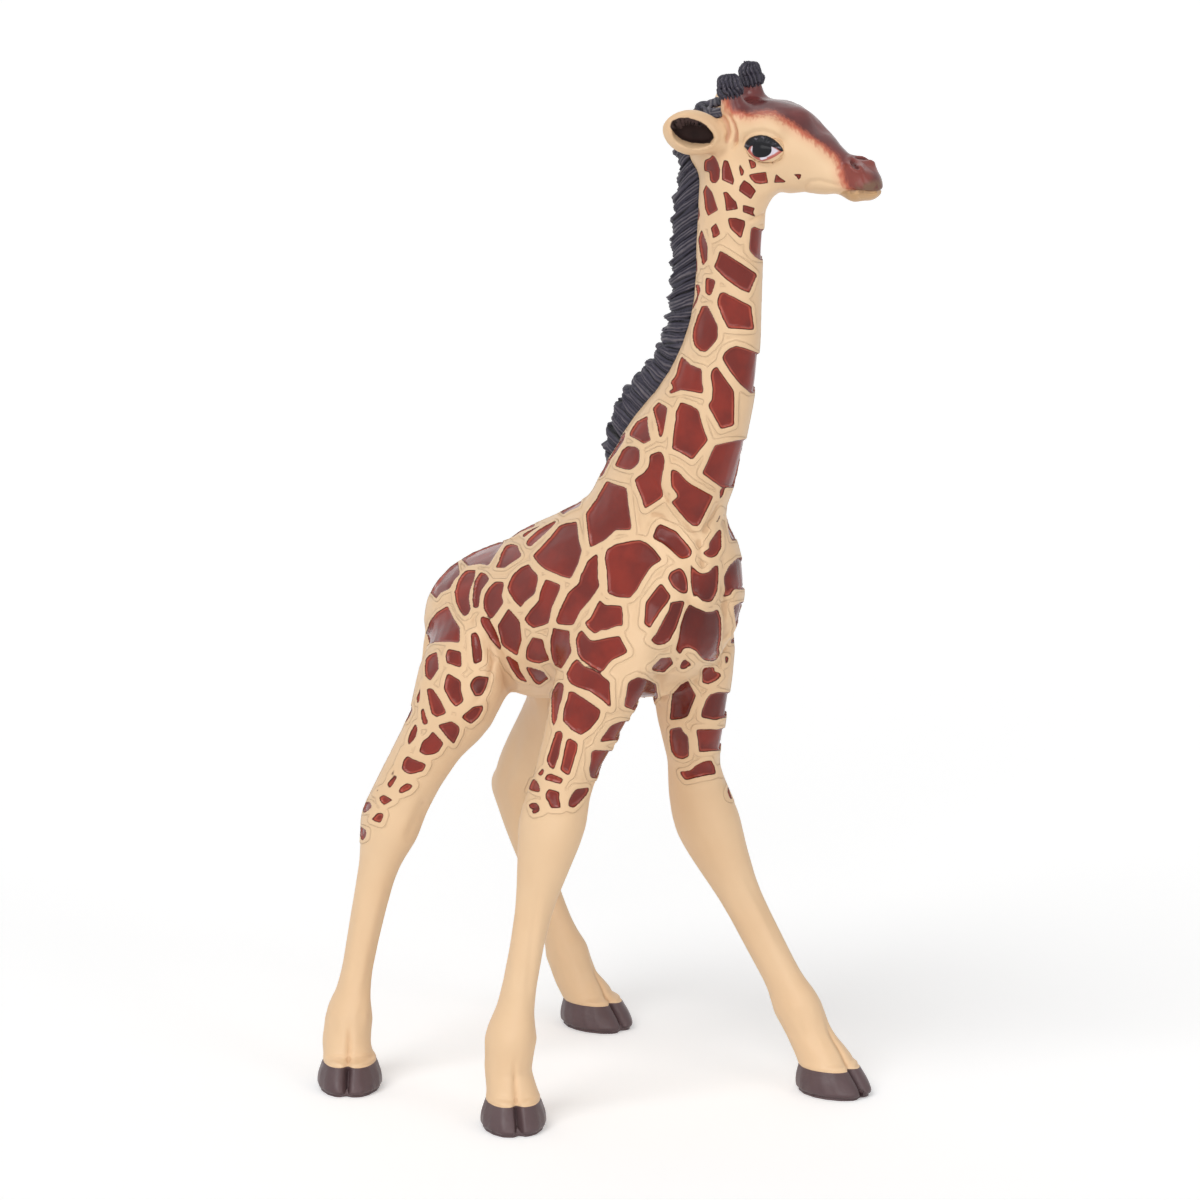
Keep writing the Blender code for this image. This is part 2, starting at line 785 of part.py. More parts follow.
def ear(side, name):
    """A leaf-shaped ear with a hollow cup."""
    along = head_direction(EAR_DIRECTION, side)
    opening = head_direction(EAR_OPENING, side)
    opening = (opening - opening.dot(along) * along).normalized()
    across = opening.cross(along)
    place, outward, up = EAR_ROOT_SHARES
    root = on_head(place, side * outward, up)
    rows = evened(EAR_SHARES, STEPS)
    made = loft(
        name + "_form",
        [root + along * float(row[0]) * EAR_LENGTH for row in rows],
        rows[:, 2] * EAR_THICKNESS,
        rows[:, 1] * EAR_WIDTH,
        across,
        AROUND,
        helper=False,
    )
    place, rise, length, width, depth = EAR_CUP_SHARES
    middle = root + along * (place * EAR_LENGTH) + opening * (rise * EAR_THICKNESS)
    sizes = (length * EAR_LENGTH, width * EAR_WIDTH, depth * EAR_THICKNESS)
    turned = Matrix((along, across, opening)).transposed()
    boolean(made, "DIFFERENCE", ellipsoid(name + "_cup", middle, sizes, turned))
    return made


def eye(side, name, clearance=0.0, helper=False):
    """An eyeball, flattened against the side of the head."""
    look = head_direction(EYE_LOOK, side)
    forward = head_direction(EYE_SLANT, side)
    forward = (forward - forward.dot(look) * look).normalized()
    axes = Matrix((forward, look, forward.cross(look))).transposed()
    widths = (EYE_WIDTH, EYE_THICKNESS, EYE_HEIGHT)
    sizes = [width / 2 + clearance for width in widths]
    along, outward, up = EYE_SHARES
    return ellipsoid(name, on_head(along, side * outward, up), sizes, axes, helper)


def mane_rows():
    """World places of the mane's centre line, each with its half height and half width."""
    rows = evened(NECK_SHARES, LINE_STEPS)
    line = np.array([tuple(place) for place in neck_centres(rows)])
    tangents = np.gradient(line, axis=0)
    made = []
    for number, rise, height, width in MANE_SHARES:
        i = round(number * LINE_STEPS)
        back = Vector((0, 1, 0)).cross(Vector(tangents[i])).normalized()
        reach = rows[i, 3] * NECK_DEPTH + rise * MANE_HEIGHT
        place = Vector(line[i]) - back * float(reach)
        made.append((*place, height, width))
    for along, sideways, up, height, width in POLL_SHARES:
        made.append((*on_head(along, sideways, up), height, width))
    return evened(made, STEPS)


def mane():
    rows = mane_rows()
    return loft(
        "mane_form",
        rows[:, :3],
        rows[:, 3] * MANE_HEIGHT,
        rows[:, 4] * MANE_WIDTH,
        (0, 1, 0),
        AROUND,
        helper=False,
    )


def tail_root():
    forward, up = TAIL_ROOT_SHARES
    return Vector((forward * TRUNK_LENGTH, 0, HIP_HEIGHT + up * TRUNK_DEPTH))


def tail():
    rows = evened(TAIL_SHARES, STEPS)
    places = [tail_root() + Vector(row[:3]) * TAIL_LENGTH for row in rows]
    sizes = rows[:, 3] * TAIL_THICKNESS
    return loft("tail_form", places, sizes, sizes, (0, 1, 0), AROUND, helper=False)


def tail_tuft():
    """The hair at the end of the tail, hanging straight on from it."""
    last, before = (tail_root() + Vector(row[:3]) * TAIL_LENGTH for row in TAIL_SHARES[:-3:-1])
    onward = (last - before).normalized()
    rows = evened(TUFT_SHARES, STEPS)
    start = last + onward * JOINT_GAP
    places = [start + onward * float(row[0]) * TUFT_LENGTH for row in rows]
    sizes = rows[:, 1] * TUFT_THICKNESS
    return loft("tail_tuft_form", places, sizes, sizes, (0, 1, 0), AROUND, helper=False)


def finish_piece(piece, name, look):
    """Fixes the piece's modifiers into its mesh, names it and gives it a plastic of its own."""
    made = baked(piece, name)
    made.data.materials.clear()
    made.data.materials.append(material(name + "_plastic", *look))
    made.data.shade_smooth()
    made.data.set_sharp_from_angle(angle=np.radians(SMOOTH_ANGLE))
    return made


def cut_from(master, name, region):
    """The part of the master inside a region."""
    made = copied(master, name + "_cut")
    boolean(made, "INTERSECT", region)
    return made


def add_peg(carrier, receiver, name, base, direction, radius, length):
    """A peg on carrier and its socket in receiver."""
    boolean(carrier, "UNION", peg(name + "_peg", base, direction, radius, length))
    socket = peg(name + "_socket", base, direction, radius + JOINT_GAP, length + JOINT_GAP)
    boolean(receiver, "DIFFERENCE", socket)


def leg_cut_height():
    """Where the legs leave the torso: just below the lowest belly station."""
    rows = evened(TRUNK_SHARES, MASTER_STEPS)
    bellies = [place[2] - row[2] * TRUNK_DEPTH for row, place in zip(rows, trunk_centres(rows))]
    return min(bellies) - CUT_DROP


def leg_edges(name):
    """How far back and how far forward a leg reaches below the torso."""
    thickness, _, _ = leg_sizes(name)
    rows = evened(LEGS[name][1], MASTER_STEPS)
    line = leg_line(name, rows[:, 0])
    below = line[:, 2] < leg_cut_height()
    reach = rows[below, 1] * thickness
    return min(line[below, 0] - reach), max(line[below, 0] + reach)


def leg_divide():
    """The place along the body that parts the forelegs from the hind legs, in the free space."""
    back = min(leg_edges(name)[0] for name in LEGS if name.startswith("front"))
    front = max(leg_edges(name)[1] for name in LEGS if name.startswith("hind"))
    return (back + front) / 2


def leg_region(name, top, bottom):
    """The box round a leg between two heights."""
    reach = TRUNK_LENGTH + OVERRUN
    low_x, high_x = (leg_divide(), reach) if name.startswith("front") else (-reach, leg_divide())
    low_y, high_y = (0, reach) if name.endswith("left") else (-reach, 0)
    return block(name + "_region", (low_x, low_y, bottom), (high_x, high_y, top))


def line_at_height(line, height):
    """The point of a line of places that lies nearest to a height."""
    return Vector(line[np.argmin(abs(line[:, 2] - height))])


def neck_cut():
    """A point on the cut between torso and neck, and its upward normal."""
    lower, upper = (neck_root() + Vector(NECK_SHARES[k][:3]) * NECK_LENGTH for k in (2, 3))
    return lower, (upper - lower).normalized()


def head_cut():
    """A point on the level cut below the jaw, between neck and head."""
    rows = evened(NECK_SHARES, LINE_STEPS)
    line = np.array([tuple(place) for place in neck_centres(rows)])
    height = head_root().z - CUT_DROP
    place = line_at_height(line, height)
    place.z = height
    return place


def half_space(name, place, normal, lift=0.0):
    """A large box on the side of a plane that its normal points to."""
    turned = normal.to_track_quat("Z", "Y").to_matrix()
    reach = TRUNK_LENGTH + NECK_LENGTH + OVERRUN
    return block(name, (-reach, -reach, lift), (reach, reach, 2 * reach), turned, place)


def add_leg(name, body, torso):
    """One leg with its hoof, pegged into the torso."""
    top = leg_cut_height()
    boolean(torso, "DIFFERENCE", leg_region(name, top + JOINT_GAP, -OVERRUN))
    shank = cut_from(body, name, leg_region(name, top, HOOF_HEIGHT + JOINT_GAP))
    joints = leg_joints(name)
    line = leg_line(name, np.arange(LINE_STEPS * (len(joints) - 1)) / LINE_STEPS)
    seat = line_at_height(line, top)
    add_peg(shank, torso, name, seat, (0, 0, 1), LEG_PEG_RADIUS, LEG_PEG_LENGTH)
    foot = hoof(name)
    place, _ = hoof_place(name)
    place.z = HOOF_HEIGHT + JOINT_GAP
    add_peg(shank, foot, name + "_hoof", place, (0, 0, -1), HOOF_PEG_RADIUS, HOOF_PEG_LENGTH)
    finish_piece(shank, name + "_leg", COAT)
    finish_piece(foot, name + "_hoof", HOOF_HORN)


def add_head_trim(side, word, head, head_swell):
    """The eye, ear and horn tuft of one side."""
    boolean(head, "DIFFERENCE", eye(side, "eye_socket_" + word, JOINT_GAP, helper=True))
    finish_piece(eye(side, "eye_form"), "eye_" + word, EYE_GLOSS)
    shell = ear(side, "ear_" + word)
    boolean(shell, "DIFFERENCE", head_swell)
    finish_piece(shell, "ear_" + word, COAT)
    tuft = horn_loft("tuft_form", side, HORN_TUFT_SHARES, AROUND, False)
    boolean(tuft, "DIFFERENCE", head_swell)
    finish_piece(tuft, "horn_tuft_" + word, HAIR)


def settle():
    """Hangs the pieces on one empty, with the middle of the footprint at the origin."""
    for made in list(bpy.data.objects):
        if made.hide_render:
            bpy.data.objects.remove(made)
    pieces = list(bpy.data.objects)
    corners = np.array([vertex.co[:] for piece in pieces for vertex in piece.data.vertices])
    low, high = corners.min(axis=0), corners.max(axis=0)
    stand = add_object("giraffe_calf", None)
    stand.location = (-(low[0] + high[0]) / 2, -(low[1] + high[1]) / 2, -low[2])
    for piece in pieces:
        piece.parent = stand


def build():
    for old in list(bpy.data.objects):
        bpy.data.objects.remove(old)

    body_forms = [trunk(), neck(), *(leg(name) for name in LEGS)]
    body_forms += [heel(name) for name in LEGS if name.startswith("hind")]
    body = merged("body_master", body_forms, SKIN_GRAIN, BODY_KEEP_SHARE)
    skull = merged("head_master", [neck(), *head_forms()], DETAIL_GRAIN, HEAD_KEEP_SHARE)
    skin_swell = grown([body, skull], "skin_swell", JOINT_GAP, SKIN_GRAIN, BODY_KEEP_SHARE)
    head_swell = grown([skull], "head_swell", JOINT_GAP, DETAIL_GRAIN, HEAD_KEEP_SHARE)

    # The neck's moulding carries a peg at each end.
    neck_place, neck_normal = neck_cut()
    head_place, head_normal = head_cut(), Vector((0, 0, 1))
    torso = copied(body, "torso_cut")
    boolean(torso, "DIFFERENCE", half_space("above_neck_cut", neck_place, neck_normal))
    column = half_space("neck_region", neck_place, neck_normal, JOINT_GAP)
    neck_piece = cut_from(body, "neck", column)
    boolean(neck_piece, "DIFFERENCE", half_space("above_head_cut", head_place, head_normal))
    crown = half_space("head_region", head_place, head_normal, JOINT_GAP)
    head = cut_from(skull, "head", crown)
    add_peg(neck_piece, torso, "neck", neck_place, -neck_normal, NECK_PEG_RADIUS, NECK_PEG_LENGTH)
    add_peg(neck_piece, head, "head", head_place, head_normal, HEAD_PEG_RADIUS, HEAD_PEG_LENGTH)

    for name in LEGS:
        add_leg(name, body, torso)
    for side, word in ((1, "left"), (-1, "right")):
        add_head_trim(side, word, head, head_swell)

    crest = mane()
    boolean(crest, "DIFFERENCE", skin_swell)
    finish_piece(crest, "mane", HAIR)
    dock = tail()
    boolean(dock, "DIFFERENCE", skin_swell)
    finish_piece(dock, "tail", COAT)
    finish_piece(tail_tuft(), "tail_tuft", HAIR)
    finish_piece(torso, "torso", COAT)
    finish_piece(neck_piece, "neck", COAT)
    finish_piece(head, "head", COAT)
    settle()


build()
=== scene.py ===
"""Looks of a moulded, hand-painted giraffe calf figure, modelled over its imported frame.

The coat is one fine skin over the frame's mouldings. It is smoothed, sculpted and marked with sunk,
glossy patches, and then parted again into a piece for each moulding. On the side that the photograph
shows, the patches follow it: their outlines are given as places in its 1200 by 1200 pixels, and they
are laid on the skin through a camera that matches the photograph. On the hidden side the same kind of
net is grown over the skin. Hair, eyes and tail are modelled on top.
"""

from contextlib import contextmanager

import bmesh
import bpy
import numpy as np
from mathutils import Matrix, Vector, noise
from mathutils.bvhtree import BVHTree
from mathutils.kdtree import KDTree


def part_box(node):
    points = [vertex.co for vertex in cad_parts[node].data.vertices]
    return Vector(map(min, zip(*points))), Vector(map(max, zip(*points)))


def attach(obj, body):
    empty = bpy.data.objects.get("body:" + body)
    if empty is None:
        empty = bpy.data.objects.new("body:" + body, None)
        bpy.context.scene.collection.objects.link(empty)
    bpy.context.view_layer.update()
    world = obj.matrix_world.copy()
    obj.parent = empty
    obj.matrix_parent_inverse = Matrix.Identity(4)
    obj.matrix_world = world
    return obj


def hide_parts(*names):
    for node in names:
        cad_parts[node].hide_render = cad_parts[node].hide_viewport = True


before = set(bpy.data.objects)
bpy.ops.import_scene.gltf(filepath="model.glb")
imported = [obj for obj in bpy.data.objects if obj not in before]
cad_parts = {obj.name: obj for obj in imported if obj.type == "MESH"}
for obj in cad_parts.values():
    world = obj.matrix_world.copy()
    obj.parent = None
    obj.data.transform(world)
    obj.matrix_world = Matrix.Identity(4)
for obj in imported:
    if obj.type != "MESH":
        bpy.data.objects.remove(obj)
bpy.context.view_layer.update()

MM = 0.001

# The camera that matches the photograph
PHOTO_SIZE = 1200
PHOTO_AZIMUTH = 45.0
PHOTO_HEIGHT_ANGLE = 13.0
PHOTO_DISTANCE = 900 * MM
PHOTO_TARGET = (6.059 * MM, -8.549 * MM, 75 * MM)
PHOTO_FOCAL = 6498.0
SENSOR = 36.0
PIXEL = PHOTO_DISTANCE / PHOTO_FOCAL
# How squarely a place must face the camera to count as seen, and the limit to how slopes widen pixels
SEEN_FACING = 0.02
LEAST_FACING = 0.35

# The head's own axes, from the middle of the back of its jaw
HEAD_ROOT = (15.81 * MM, 0.76 * MM, 132.02 * MM)
HEAD_TURN = 20.0
HEAD_ROLL = 5.0

# Fineness of the coat, and how its kinks are eased
GAP_FILL = 0.26 * MM
COAT_GRAIN = 0.29 * MM
COAT_SMOOTH_ROUNDS = 34
SMOOTH_IN = 0.5
SMOOTH_OUT = -0.52
MERGE_REACH = MM / 1000
FINE_FEET = 13 * MM
FINE_SMOOTH_ROUNDS = 8
EASE_ROUNDS = 22
SHANK_START = (11 * MM, 14 * MM)
SHANK_FADE = 8 * MM
CREASE_ROUNDS = 130
CREASE_HEIGHT = 5.3 * MM
CREASE_REACH = 1.5 * MM

LEGS = [f"{end}_{side}" for end in ("front", "hind") for side in ("left", "right")]
COAT_NODES = ["torso", "neck", "head", "ear_left", "ear_right"]
COAT_NODES += [leg + "_leg" for leg in LEGS] + [leg + "_hoof" for leg in LEGS]

# Where the mouldings meet, and how far down the head's paint, patches and carving reach
HEAD_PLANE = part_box("head")[0].z - 0.15 * MM
LEG_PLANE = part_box("torso")[0].z - 0.15 * MM
NECK_PLACE = (12.17 * MM, 1.45 * MM, 95.18 * MM)
NECK_NORMAL = (0.5145, 0, 0.8575)
HOOF_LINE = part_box("front_left_hoof")[1].z - 0.6 * MM
EAR_BASE_NORMAL = (-0.4162, -0.8925, 0.1736)
EAR_BASE = 4.35 * MM
HEAD_PAINT_LOW = HEAD_PLANE - 4 * MM
HEAD_PATCH_LOW = HEAD_PLANE - 3 * MM
HEAD_CARVING_LOW = HEAD_PLANE - 2 * MM


def free_middle(axis, low_nodes, high_nodes):
    """Halfway along the free space between two groups of nodes."""
    low = max(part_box(name)[1][axis] for name in low_nodes)
    high = min(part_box(name)[0][axis] for name in high_nodes)
    return (low + high) / 2


LEG_DIVIDE = free_middle(0, ["hind_left_leg", "hind_right_leg"], ["front_left_leg", "front_right_leg"])
MIDDLE_Y = free_middle(1, ["front_right_leg", "hind_right_leg"], ["front_left_leg", "hind_left_leg"])

# Relief of the patches, and the limits of the distances that the skin keeps for its paint
PATCH_DEPTH = 0.23 * MM
PATCH_BEVEL = (-0.04 * MM, 0.34 * MM)
COLLAR_HEIGHT = 0.12 * MM
COLLAR_WIDTH = 0.85 * MM
COLLAR_SLOPE = 0.30 * MM
COLLAR_FADE = 6 * MM
PATCH_SOFT_ROUNDS = 2
PATCH_REACH = 3 * MM
HEAD_PATCH_REACH = 0.6 * MM
FIELD_REACH = 9
FAR_OUT = -FIELD_REACH * MM
MIRROR_GAP = 2 * MM
OUTLINE_REACH = 30

# The net of patches on the hidden side: its spacing by height in mm, its lines and where it ends
NET_TRUNK = 8.4 * MM
NET_NECK = (6.8 * MM, 4.6 * MM)
NET_NECK_HEIGHTS = (88, 132)
NET_NECK_START = 90
NET_LEG = (3.3 * MM, 6.2 * MM)
NET_LEG_HEIGHTS = (34, 58)
NET_LINE = 1.35 * MM
NET_CLEAR = 1.45 * MM
NET_ROUNDING = 0.28 * MM
NET_LEAST = 0.55 * MM
NET_SEED = 7
NET_CLOSENESS = 0.78
NET_EVENING = 3
NET_BATCH = 4000
NET_RIM_ROUNDS = 6
NET_RIM = 1.2 * MM
NET_TINY = 1e-9
NECK_FRONT_HEIGHT = 92 * MM
FORELEG_NET_END = 42 * MM
HINDLEG_NET_END = 36.5 * MM
INNER_LEG_FACING = -0.1
BELLY_FACING = -0.45
GIRTH_HEIGHT = 5 * MM
GIRTH_FACING = 0.1

# Carving: share of a line over which each end fades, and the share of its depth that stays there
HEAD_LINE_ENDS = (0.18, 0.25)
BODY_LINE_ENDS = (0.22, 0.10)
BODY_LINE_FACING = (0.05, 0.3)
NOSTRIL_DEPTH = 0.55 * MM
NOSTRIL_EDGE = (-0.15 * MM, 0.35 * MM)
NOSTRIL_RIM = 0.10 * MM
NOSTRIL_RIM_PLACE = 0.35 * MM
NOSTRIL_RIM_WIDTH = 0.3 * MM
# How much further the brown cap reaches down the hidden side, in pixels, and over what width it does
CAP_WIDER = 9
CAP_WIDENING = (0, 1 * MM)

# Eyes: directions of the right one in the head's axes, and the sizes of ball, lids and lashes
EYE_LOOK = (0.30, -1.00, 0.06)
EYE_SLANT = (1.00, 0.00, -0.10)
EYE_SIZES = (5.6 * MM, 3.5 * MM, 4.0 * MM)
EYE_SEGMENTS = (160, 120)
UPPER_LID = 0.24 * MM
UPPER_LID_EDGE = (-0.15 * MM, 0.3 * MM)
LOWER_LID_HEIGHT = 0.14 * MM
LOWER_LID_WIDTH = 0.22 * MM
EYE_SUNK = 0.10 * MM
EYE_SUNK_EDGE = (0, 0.3 * MM)
EYE_SUNK_LASHES = (0.1 * MM, -0.1 * MM)
LASH_CUT = 0.05 * MM
LASH_CUT_EDGE = (0, 0.4 * MM)
LASH_COUNT = 15.0
LASH_SPREAD = 1.4
LASH_TOP_PLACES = 11
STREAK_PLACE = 0.42 * MM
STREAK_WIDTH = 0.26 * MM
# Iris and painted glint: middles and radii in pixels, and how flat the iris is below and above its
# middle
IRIS_MIDDLE = (761.8, 150.0)
IRIS_RADIUS = 10.0
IRIS_FLATTENING = (1.3, 0.8)
GLINT_MIDDLE = (763.5, 158.5)
GLINT_RADIUS = 3.4

# Ears: which way the right one opens in the head's axes, and the form of its hollow
EAR_OPENING = (0.46, -0.88, -0.06)
EAR_INNER_FACING = (-0.1, 0.25)
EAR_ROOT = -0.3 * MM
EAR_BACK = 0.1 * MM
EAR_HOLLOW_DEPTH = 0.75 * MM
EAR_HOLLOW_EDGE = (0, 0.8 * MM)
EAR_LIP = 0.16 * MM
EAR_LIP_PLACE = 0.45 * MM
EAR_LIP_WIDTH = 0.4 * MM

# Combed hair: widths of locks and strands in mm, how they sway, and how round their ridges are
HAIR_GRAIN = 0.13 * MM
LOCK_WIDTH = 1.9
STRAND_WIDTH = 0.52
HAIR_FLOW = (0.12, 0.5)
LOCK_SWAY = 0.35
LOCK_WAVE = 0.8
LOCK_FLOW = 1.7
LOCK_ROUNDNESS = 0.55
STRAND_WAVE = 1.5
STRAND_FLOW = 2.3
STRAND_ROUNDNESS = 0.7
RANDOM_SHIFTS = (7.3, 3.1, 5.7)

# The mane: its middle line, the lean of its locks along it, and its saw-toothed crest
MANE_SWELL = 0.32 * MM
MANE_SMOOTH_ROUNDS = 12
MANE_SEED = 3
MANE_PIVOT = (60 * MM, 0, 95 * MM)
MANE_STATIONS = 28
MANE_EVENING = 3
MANE_TILT_PLACES = [0, 0.25, 0.5, 0.8, 1]
MANE_TILTS = [-0.25, 0.15, 0.60, 0.95, 0.90]
MANE_CREST = (-0.2 * MM, 2.2 * MM)
MANE_ROOT = (0, 0.04)
MANE_ROOT_DEPTH = 0.35
LOCK_HEIGHT = 0.42 * MM
LOCK_LEVEL = 0.6
STRAND_HEIGHT = 0.26 * MM
STRAND_LEVEL = 0.5
TIP_SPACING = 3.1
TIP_WAVE = 0.4
TIP_WAVE_LENGTH = 5
TIP_SEED = 9
TIP_HEIGHT = 0.75 * MM
TIP_LEVEL = 0.45
TIP_DROOP = 0.55 * MM
MANE_RIDGES = (0.6, 0.4)

# Tufts: node, direction of growth, seed, turns of curls round it and swelling of the skin
TUFTS = [
    ("horn_tuft_left", (-0.1, 0.1, 1), 11, 8, -0.42 * MM),
    ("horn_tuft_right", (-0.1, -0.1, 1), 12, 8, -0.42 * MM),
    ("tail_tuft", (0.0, 0.2, -1), 13, 5, 0.2 * MM),
]
TUFT_SMOOTH_ROUNDS = 8
TUFT_SIDE = (0.3, 1, 0.1)
TUFT_TAPER = 0.28
TUFT_TAPER_SPAN = (0.6 * MM, -1.6 * MM)
TUFT_TOP = (0, 0.5 * MM)
TUFT_LUMP = 0.26 * MM
TUFT_LUMP_SIZE = 1.5 * MM
TUFT_SWIRL_SIZE = 0.9 * MM
TUFT_SWIRL_SEED = 4
TUFT_TWIST = 1.5
TUFT_BEND = 2.2
TUFT_SWIRL = 0.8
TUFT_STRAND = 0.40 * MM
TUFT_FINE = 0.16 * MM
TUFT_FINENESS = 3.3
TUFT_FINE_BEND = 1.7
TUFT_FINE_ROUNDNESS = 0.8
TUFT_RIDGES = (0.55, 0.45)

# The tail's skin
TAIL_SWELL = 0.25 * MM
TAIL_GRAIN = 0.2 * MM
TAIL_SMOOTH_ROUNDS = 10

# Feet: turns of the toes in degrees, and the sizes of their forms
TOE_TURNS = {"front_left": 2, "front_right": -36, "hind_left": 0, "hind_right": -48}
FOOT_REACH = 10 * MM
FOOT_SIDE = (0.92, 0.6)
FOOT_FRONT = (-0.1, 0.5)
CLEFT_DEPTH = 1.0 * MM
CLEFT_SPAN = (HOOF_LINE + 0.6 * MM, HOOF_LINE - 0.2 * MM)
CLEFT_WIDTH = 0.45 * MM
CREASE_DEPTH = 0.42 * MM
CREASE_SPAN = (11.5 * MM, 6 * MM)
TOE_PLACE = 2.0 * MM
TOE_WIDTH = 1.2 * MM
TOE_SWELL = 0.22 * MM
TOE_SPAN = (8 * MM, 4 * MM)
SOLE_ROUNDING = 0.40 * MM
SOLE_SPAN = (0.9 * MM, 0)
CLAW_PLACE = 1.4 * MM
CLAW_HEIGHT = 10.5 * MM
CLAW_WIDTH = 0.9 * MM
CLAW_SWELL = 0.45 * MM
CLAW_FACING = (0.1, -0.5)
# Rings round each foot, the coronet, the groove under it and the hoof: height, reach and swelling
FOOT_RINGS = [
    (HOOF_LINE + 1.7 * MM, 2.3 * MM, 0.36 * MM),
    (HOOF_LINE, 0.16 * MM, -0.14 * MM),
    (1.9 * MM, 1.3 * MM, 0.12 * MM),
]

# Colours of the paints, as light
CREAM_LIGHT = (0.90, 0.645, 0.405)
CREAM_DARK = (0.83, 0.555, 0.325)
CREAM_PAINTED_SHADE = (0.58, 0.33, 0.17)
PATCH_RED = (0.275, 0.026, 0.014)
PATCH_DARK = (0.180, 0.018, 0.011)
PATCH_PAINTED_SHADE = (0.085, 0.006, 0.003)
PATCH_RIM = (0.56, 0.10, 0.055)
PATCH_LINE = (0.10, 0.022, 0.016)
HAIR_VALLEY_SHADE = (0.006, 0.005, 0.007)
HAIR_DARK = (0.026, 0.023, 0.038)
HAIR_MID = (0.056, 0.049, 0.074)
HAIR_RIDGE_HIGHLIGHT = (0.24, 0.21, 0.22)
HOOF_DARK = (0.078, 0.045, 0.048)
HOOF_LIGHT = (0.135, 0.086, 0.090)
BLUSH = (0.80, 0.30, 0.18)
CAP_RED = (0.50, 0.085, 0.045)
CAP_BROWN = (0.190, 0.046, 0.044)
CAP_DARK = (0.115, 0.026, 0.026)
LIP_OLIVE = (0.215, 0.115, 0.070)
MUZZLE_RED = (0.280, 0.058, 0.042)
FOLD_BROWN = (0.50, 0.17, 0.10)
CHIN_GOLD = (0.66, 0.40, 0.20)
CHIN_BROWN = (0.28, 0.15, 0.08)
NOSTRIL_RED = (0.105, 0.012, 0.009)
EYE_BLACK = (0.010, 0.010, 0.013)
EYE_WHITE = (0.74, 0.68, 0.75)
EYE_PINK = (0.50, 0.13, 0.10)
LASH_GREY = (0.24, 0.22, 0.27)
EAR_DARK = (0.016, 0.008, 0.007)
EAR_BROWN = (0.065, 0.030, 0.025)

# Roughness of the surfaces, and strengths of their reflection
CREAM_ROUGHNESS = 0.42
PATCH_ROUGHNESS = 0.24
EAR_ROUGHNESS = 0.80
EYE_ROUGHNESS = 0.15
LASH_ROUGHNESS = 0.40
HAIR_ROUGHNESS = (0.38, 0.55)
HOOF_ROUGHNESS = (0.34, 0.46)
FLOOR_ROUGHNESS = 0.9
COAT_GLOSS = 0.36
EYE_GLOSS = 0.22
HAIR_GLOSS = 0.30
HOOF_GLOSS = 0.40

# Paint: distances into a region, in mm, where each paint starts and where it is full, and its share
PATCH_EDGE = (-0.03, 0.03)
RIM_BAND = (0.06, 0.16, 0.20, 0.40)
RIM_MOTTLE_RANGE = (0.1, 0.7)
ENGRAVED_BAND = (-0.98, -0.85, -0.85, -0.72)
ENGRAVED_PAINTED_SHADE = 0.16
LINE_BAND = (-0.07, -0.01, 0.04, 0.11)
LINE_SHADE = 0.6
HOLLOW_EDGE = (0.008, 0.07)
FOLD_EDGE = (-0.42, -0.05)
PAINTED_SHADE_AND_FOLD_SHARE = 0.5
HAZE_EDGE = (-1.9, 0.2)
HAZE_SHARE = 0.42
CAP_BRUSHING = 1.5
CAP_BRUSHED_EDGE = (-0.9, 0.1)
CAP_BRUSHED_SHARE = 0.85
CAP_ROUGHNESS_EDGE = (-0.2, 0.6)
CAP_SOLID_BRUSHING = 0.9
CAP_SOLID_EDGE = (-0.15, 0.75)
MUZZLE_EDGE = (0.2, 1.6)
MUZZLE_SHARE = 0.8
LIP_EDGE = (-0.6, 0.5)
CHIN_EDGE = (-0.08, 0.20)
STAIN_EDGE = (-1.0, 0.6)
STAIN_DEPTH = (1.1, 0.2)
NOSTRIL_PAINT_EDGE = (-0.1, 0.15)
LASH_EDGE = (-0.05, 0.05)
EAR_PAINTED_SHADE_EDGE = (-1.0, 0.1)
EAR_PAINTED_SHADE_SHARE = 0.35
EAR_WOBBLE = 0.3
EAR_EDGE = (0.06, 0.22)
GLOSS_EDGE = (-0.02, 0.08)
CORNER_EDGE = (0.26, 0.10)
GLINT_EDGE = (0.1, -0.1)
SOCKET_EDGE = (-0.20, -0.05)
EYE_EDGE = (0.02, 0.12)
IRIS_EDGE = (-0.04, 0.04)
EYE_LASH_EDGE = (-0.05, 0.03)
EYE_GLOSS_EDGE = (-0.05, 0.1)
RIDGE_DARK_EDGE = (0.75, 0.35)
RIDGE_LIGHT_EDGE = (0.78, 1.0)
RIDGE_SHARE = 0.9

# Mottling: size of its clouds, their detail, and the part of the noise that it spreads over
RED_MOTTLE = (5 * MM, 3, 0.35, 0.7)
RIM_MOTTLE = (6 * MM, 2, 0.35, 0.65)
CAP_MOTTLE = (4 * MM, 3, 0.3, 0.7)
LIP_MOTTLE = (1.5 * MM, 2, 0.3, 0.6)
STAIN_MOTTLE = (1.2 * MM, 3, 0.25, 0.50)
DAB_MOTTLE = (0.5 * MM, 2, 0.45, 0.65)
HAIR_MOTTLE = (1 * MM, 2, 0.2, 0.8)
CREAM_CLOUDS = (9 * MM, 3)
PATCH_WOBBLE = (1.1 * MM, 2)
WOBBLE_REACH = 0.14
CAP_STROKES = (0.42 * MM, 3, (1, 1, 0.35))
EAR_CLOUDS = (2 * MM, 3)
EAR_RIM_CLOUDS = (0.8 * MM, 2)
HAIR_CLOUDS = (3 * MM, 3)
HAIR_STREAKS = (1.5 * MM, 2)
HAIR_BUMPS = (0.3 * MM, 3)
HOOF_CLOUDS = (4 * MM, 3)
HOOF_MOTTLE = (4 * MM / 3, 2, 0.2, 0.8)
HOOF_BUMPS = (0.5 * MM, 3)
COAT_BUMPS = (0.35 * MM, 3)
FINE_BUMP = 0.05 * MM

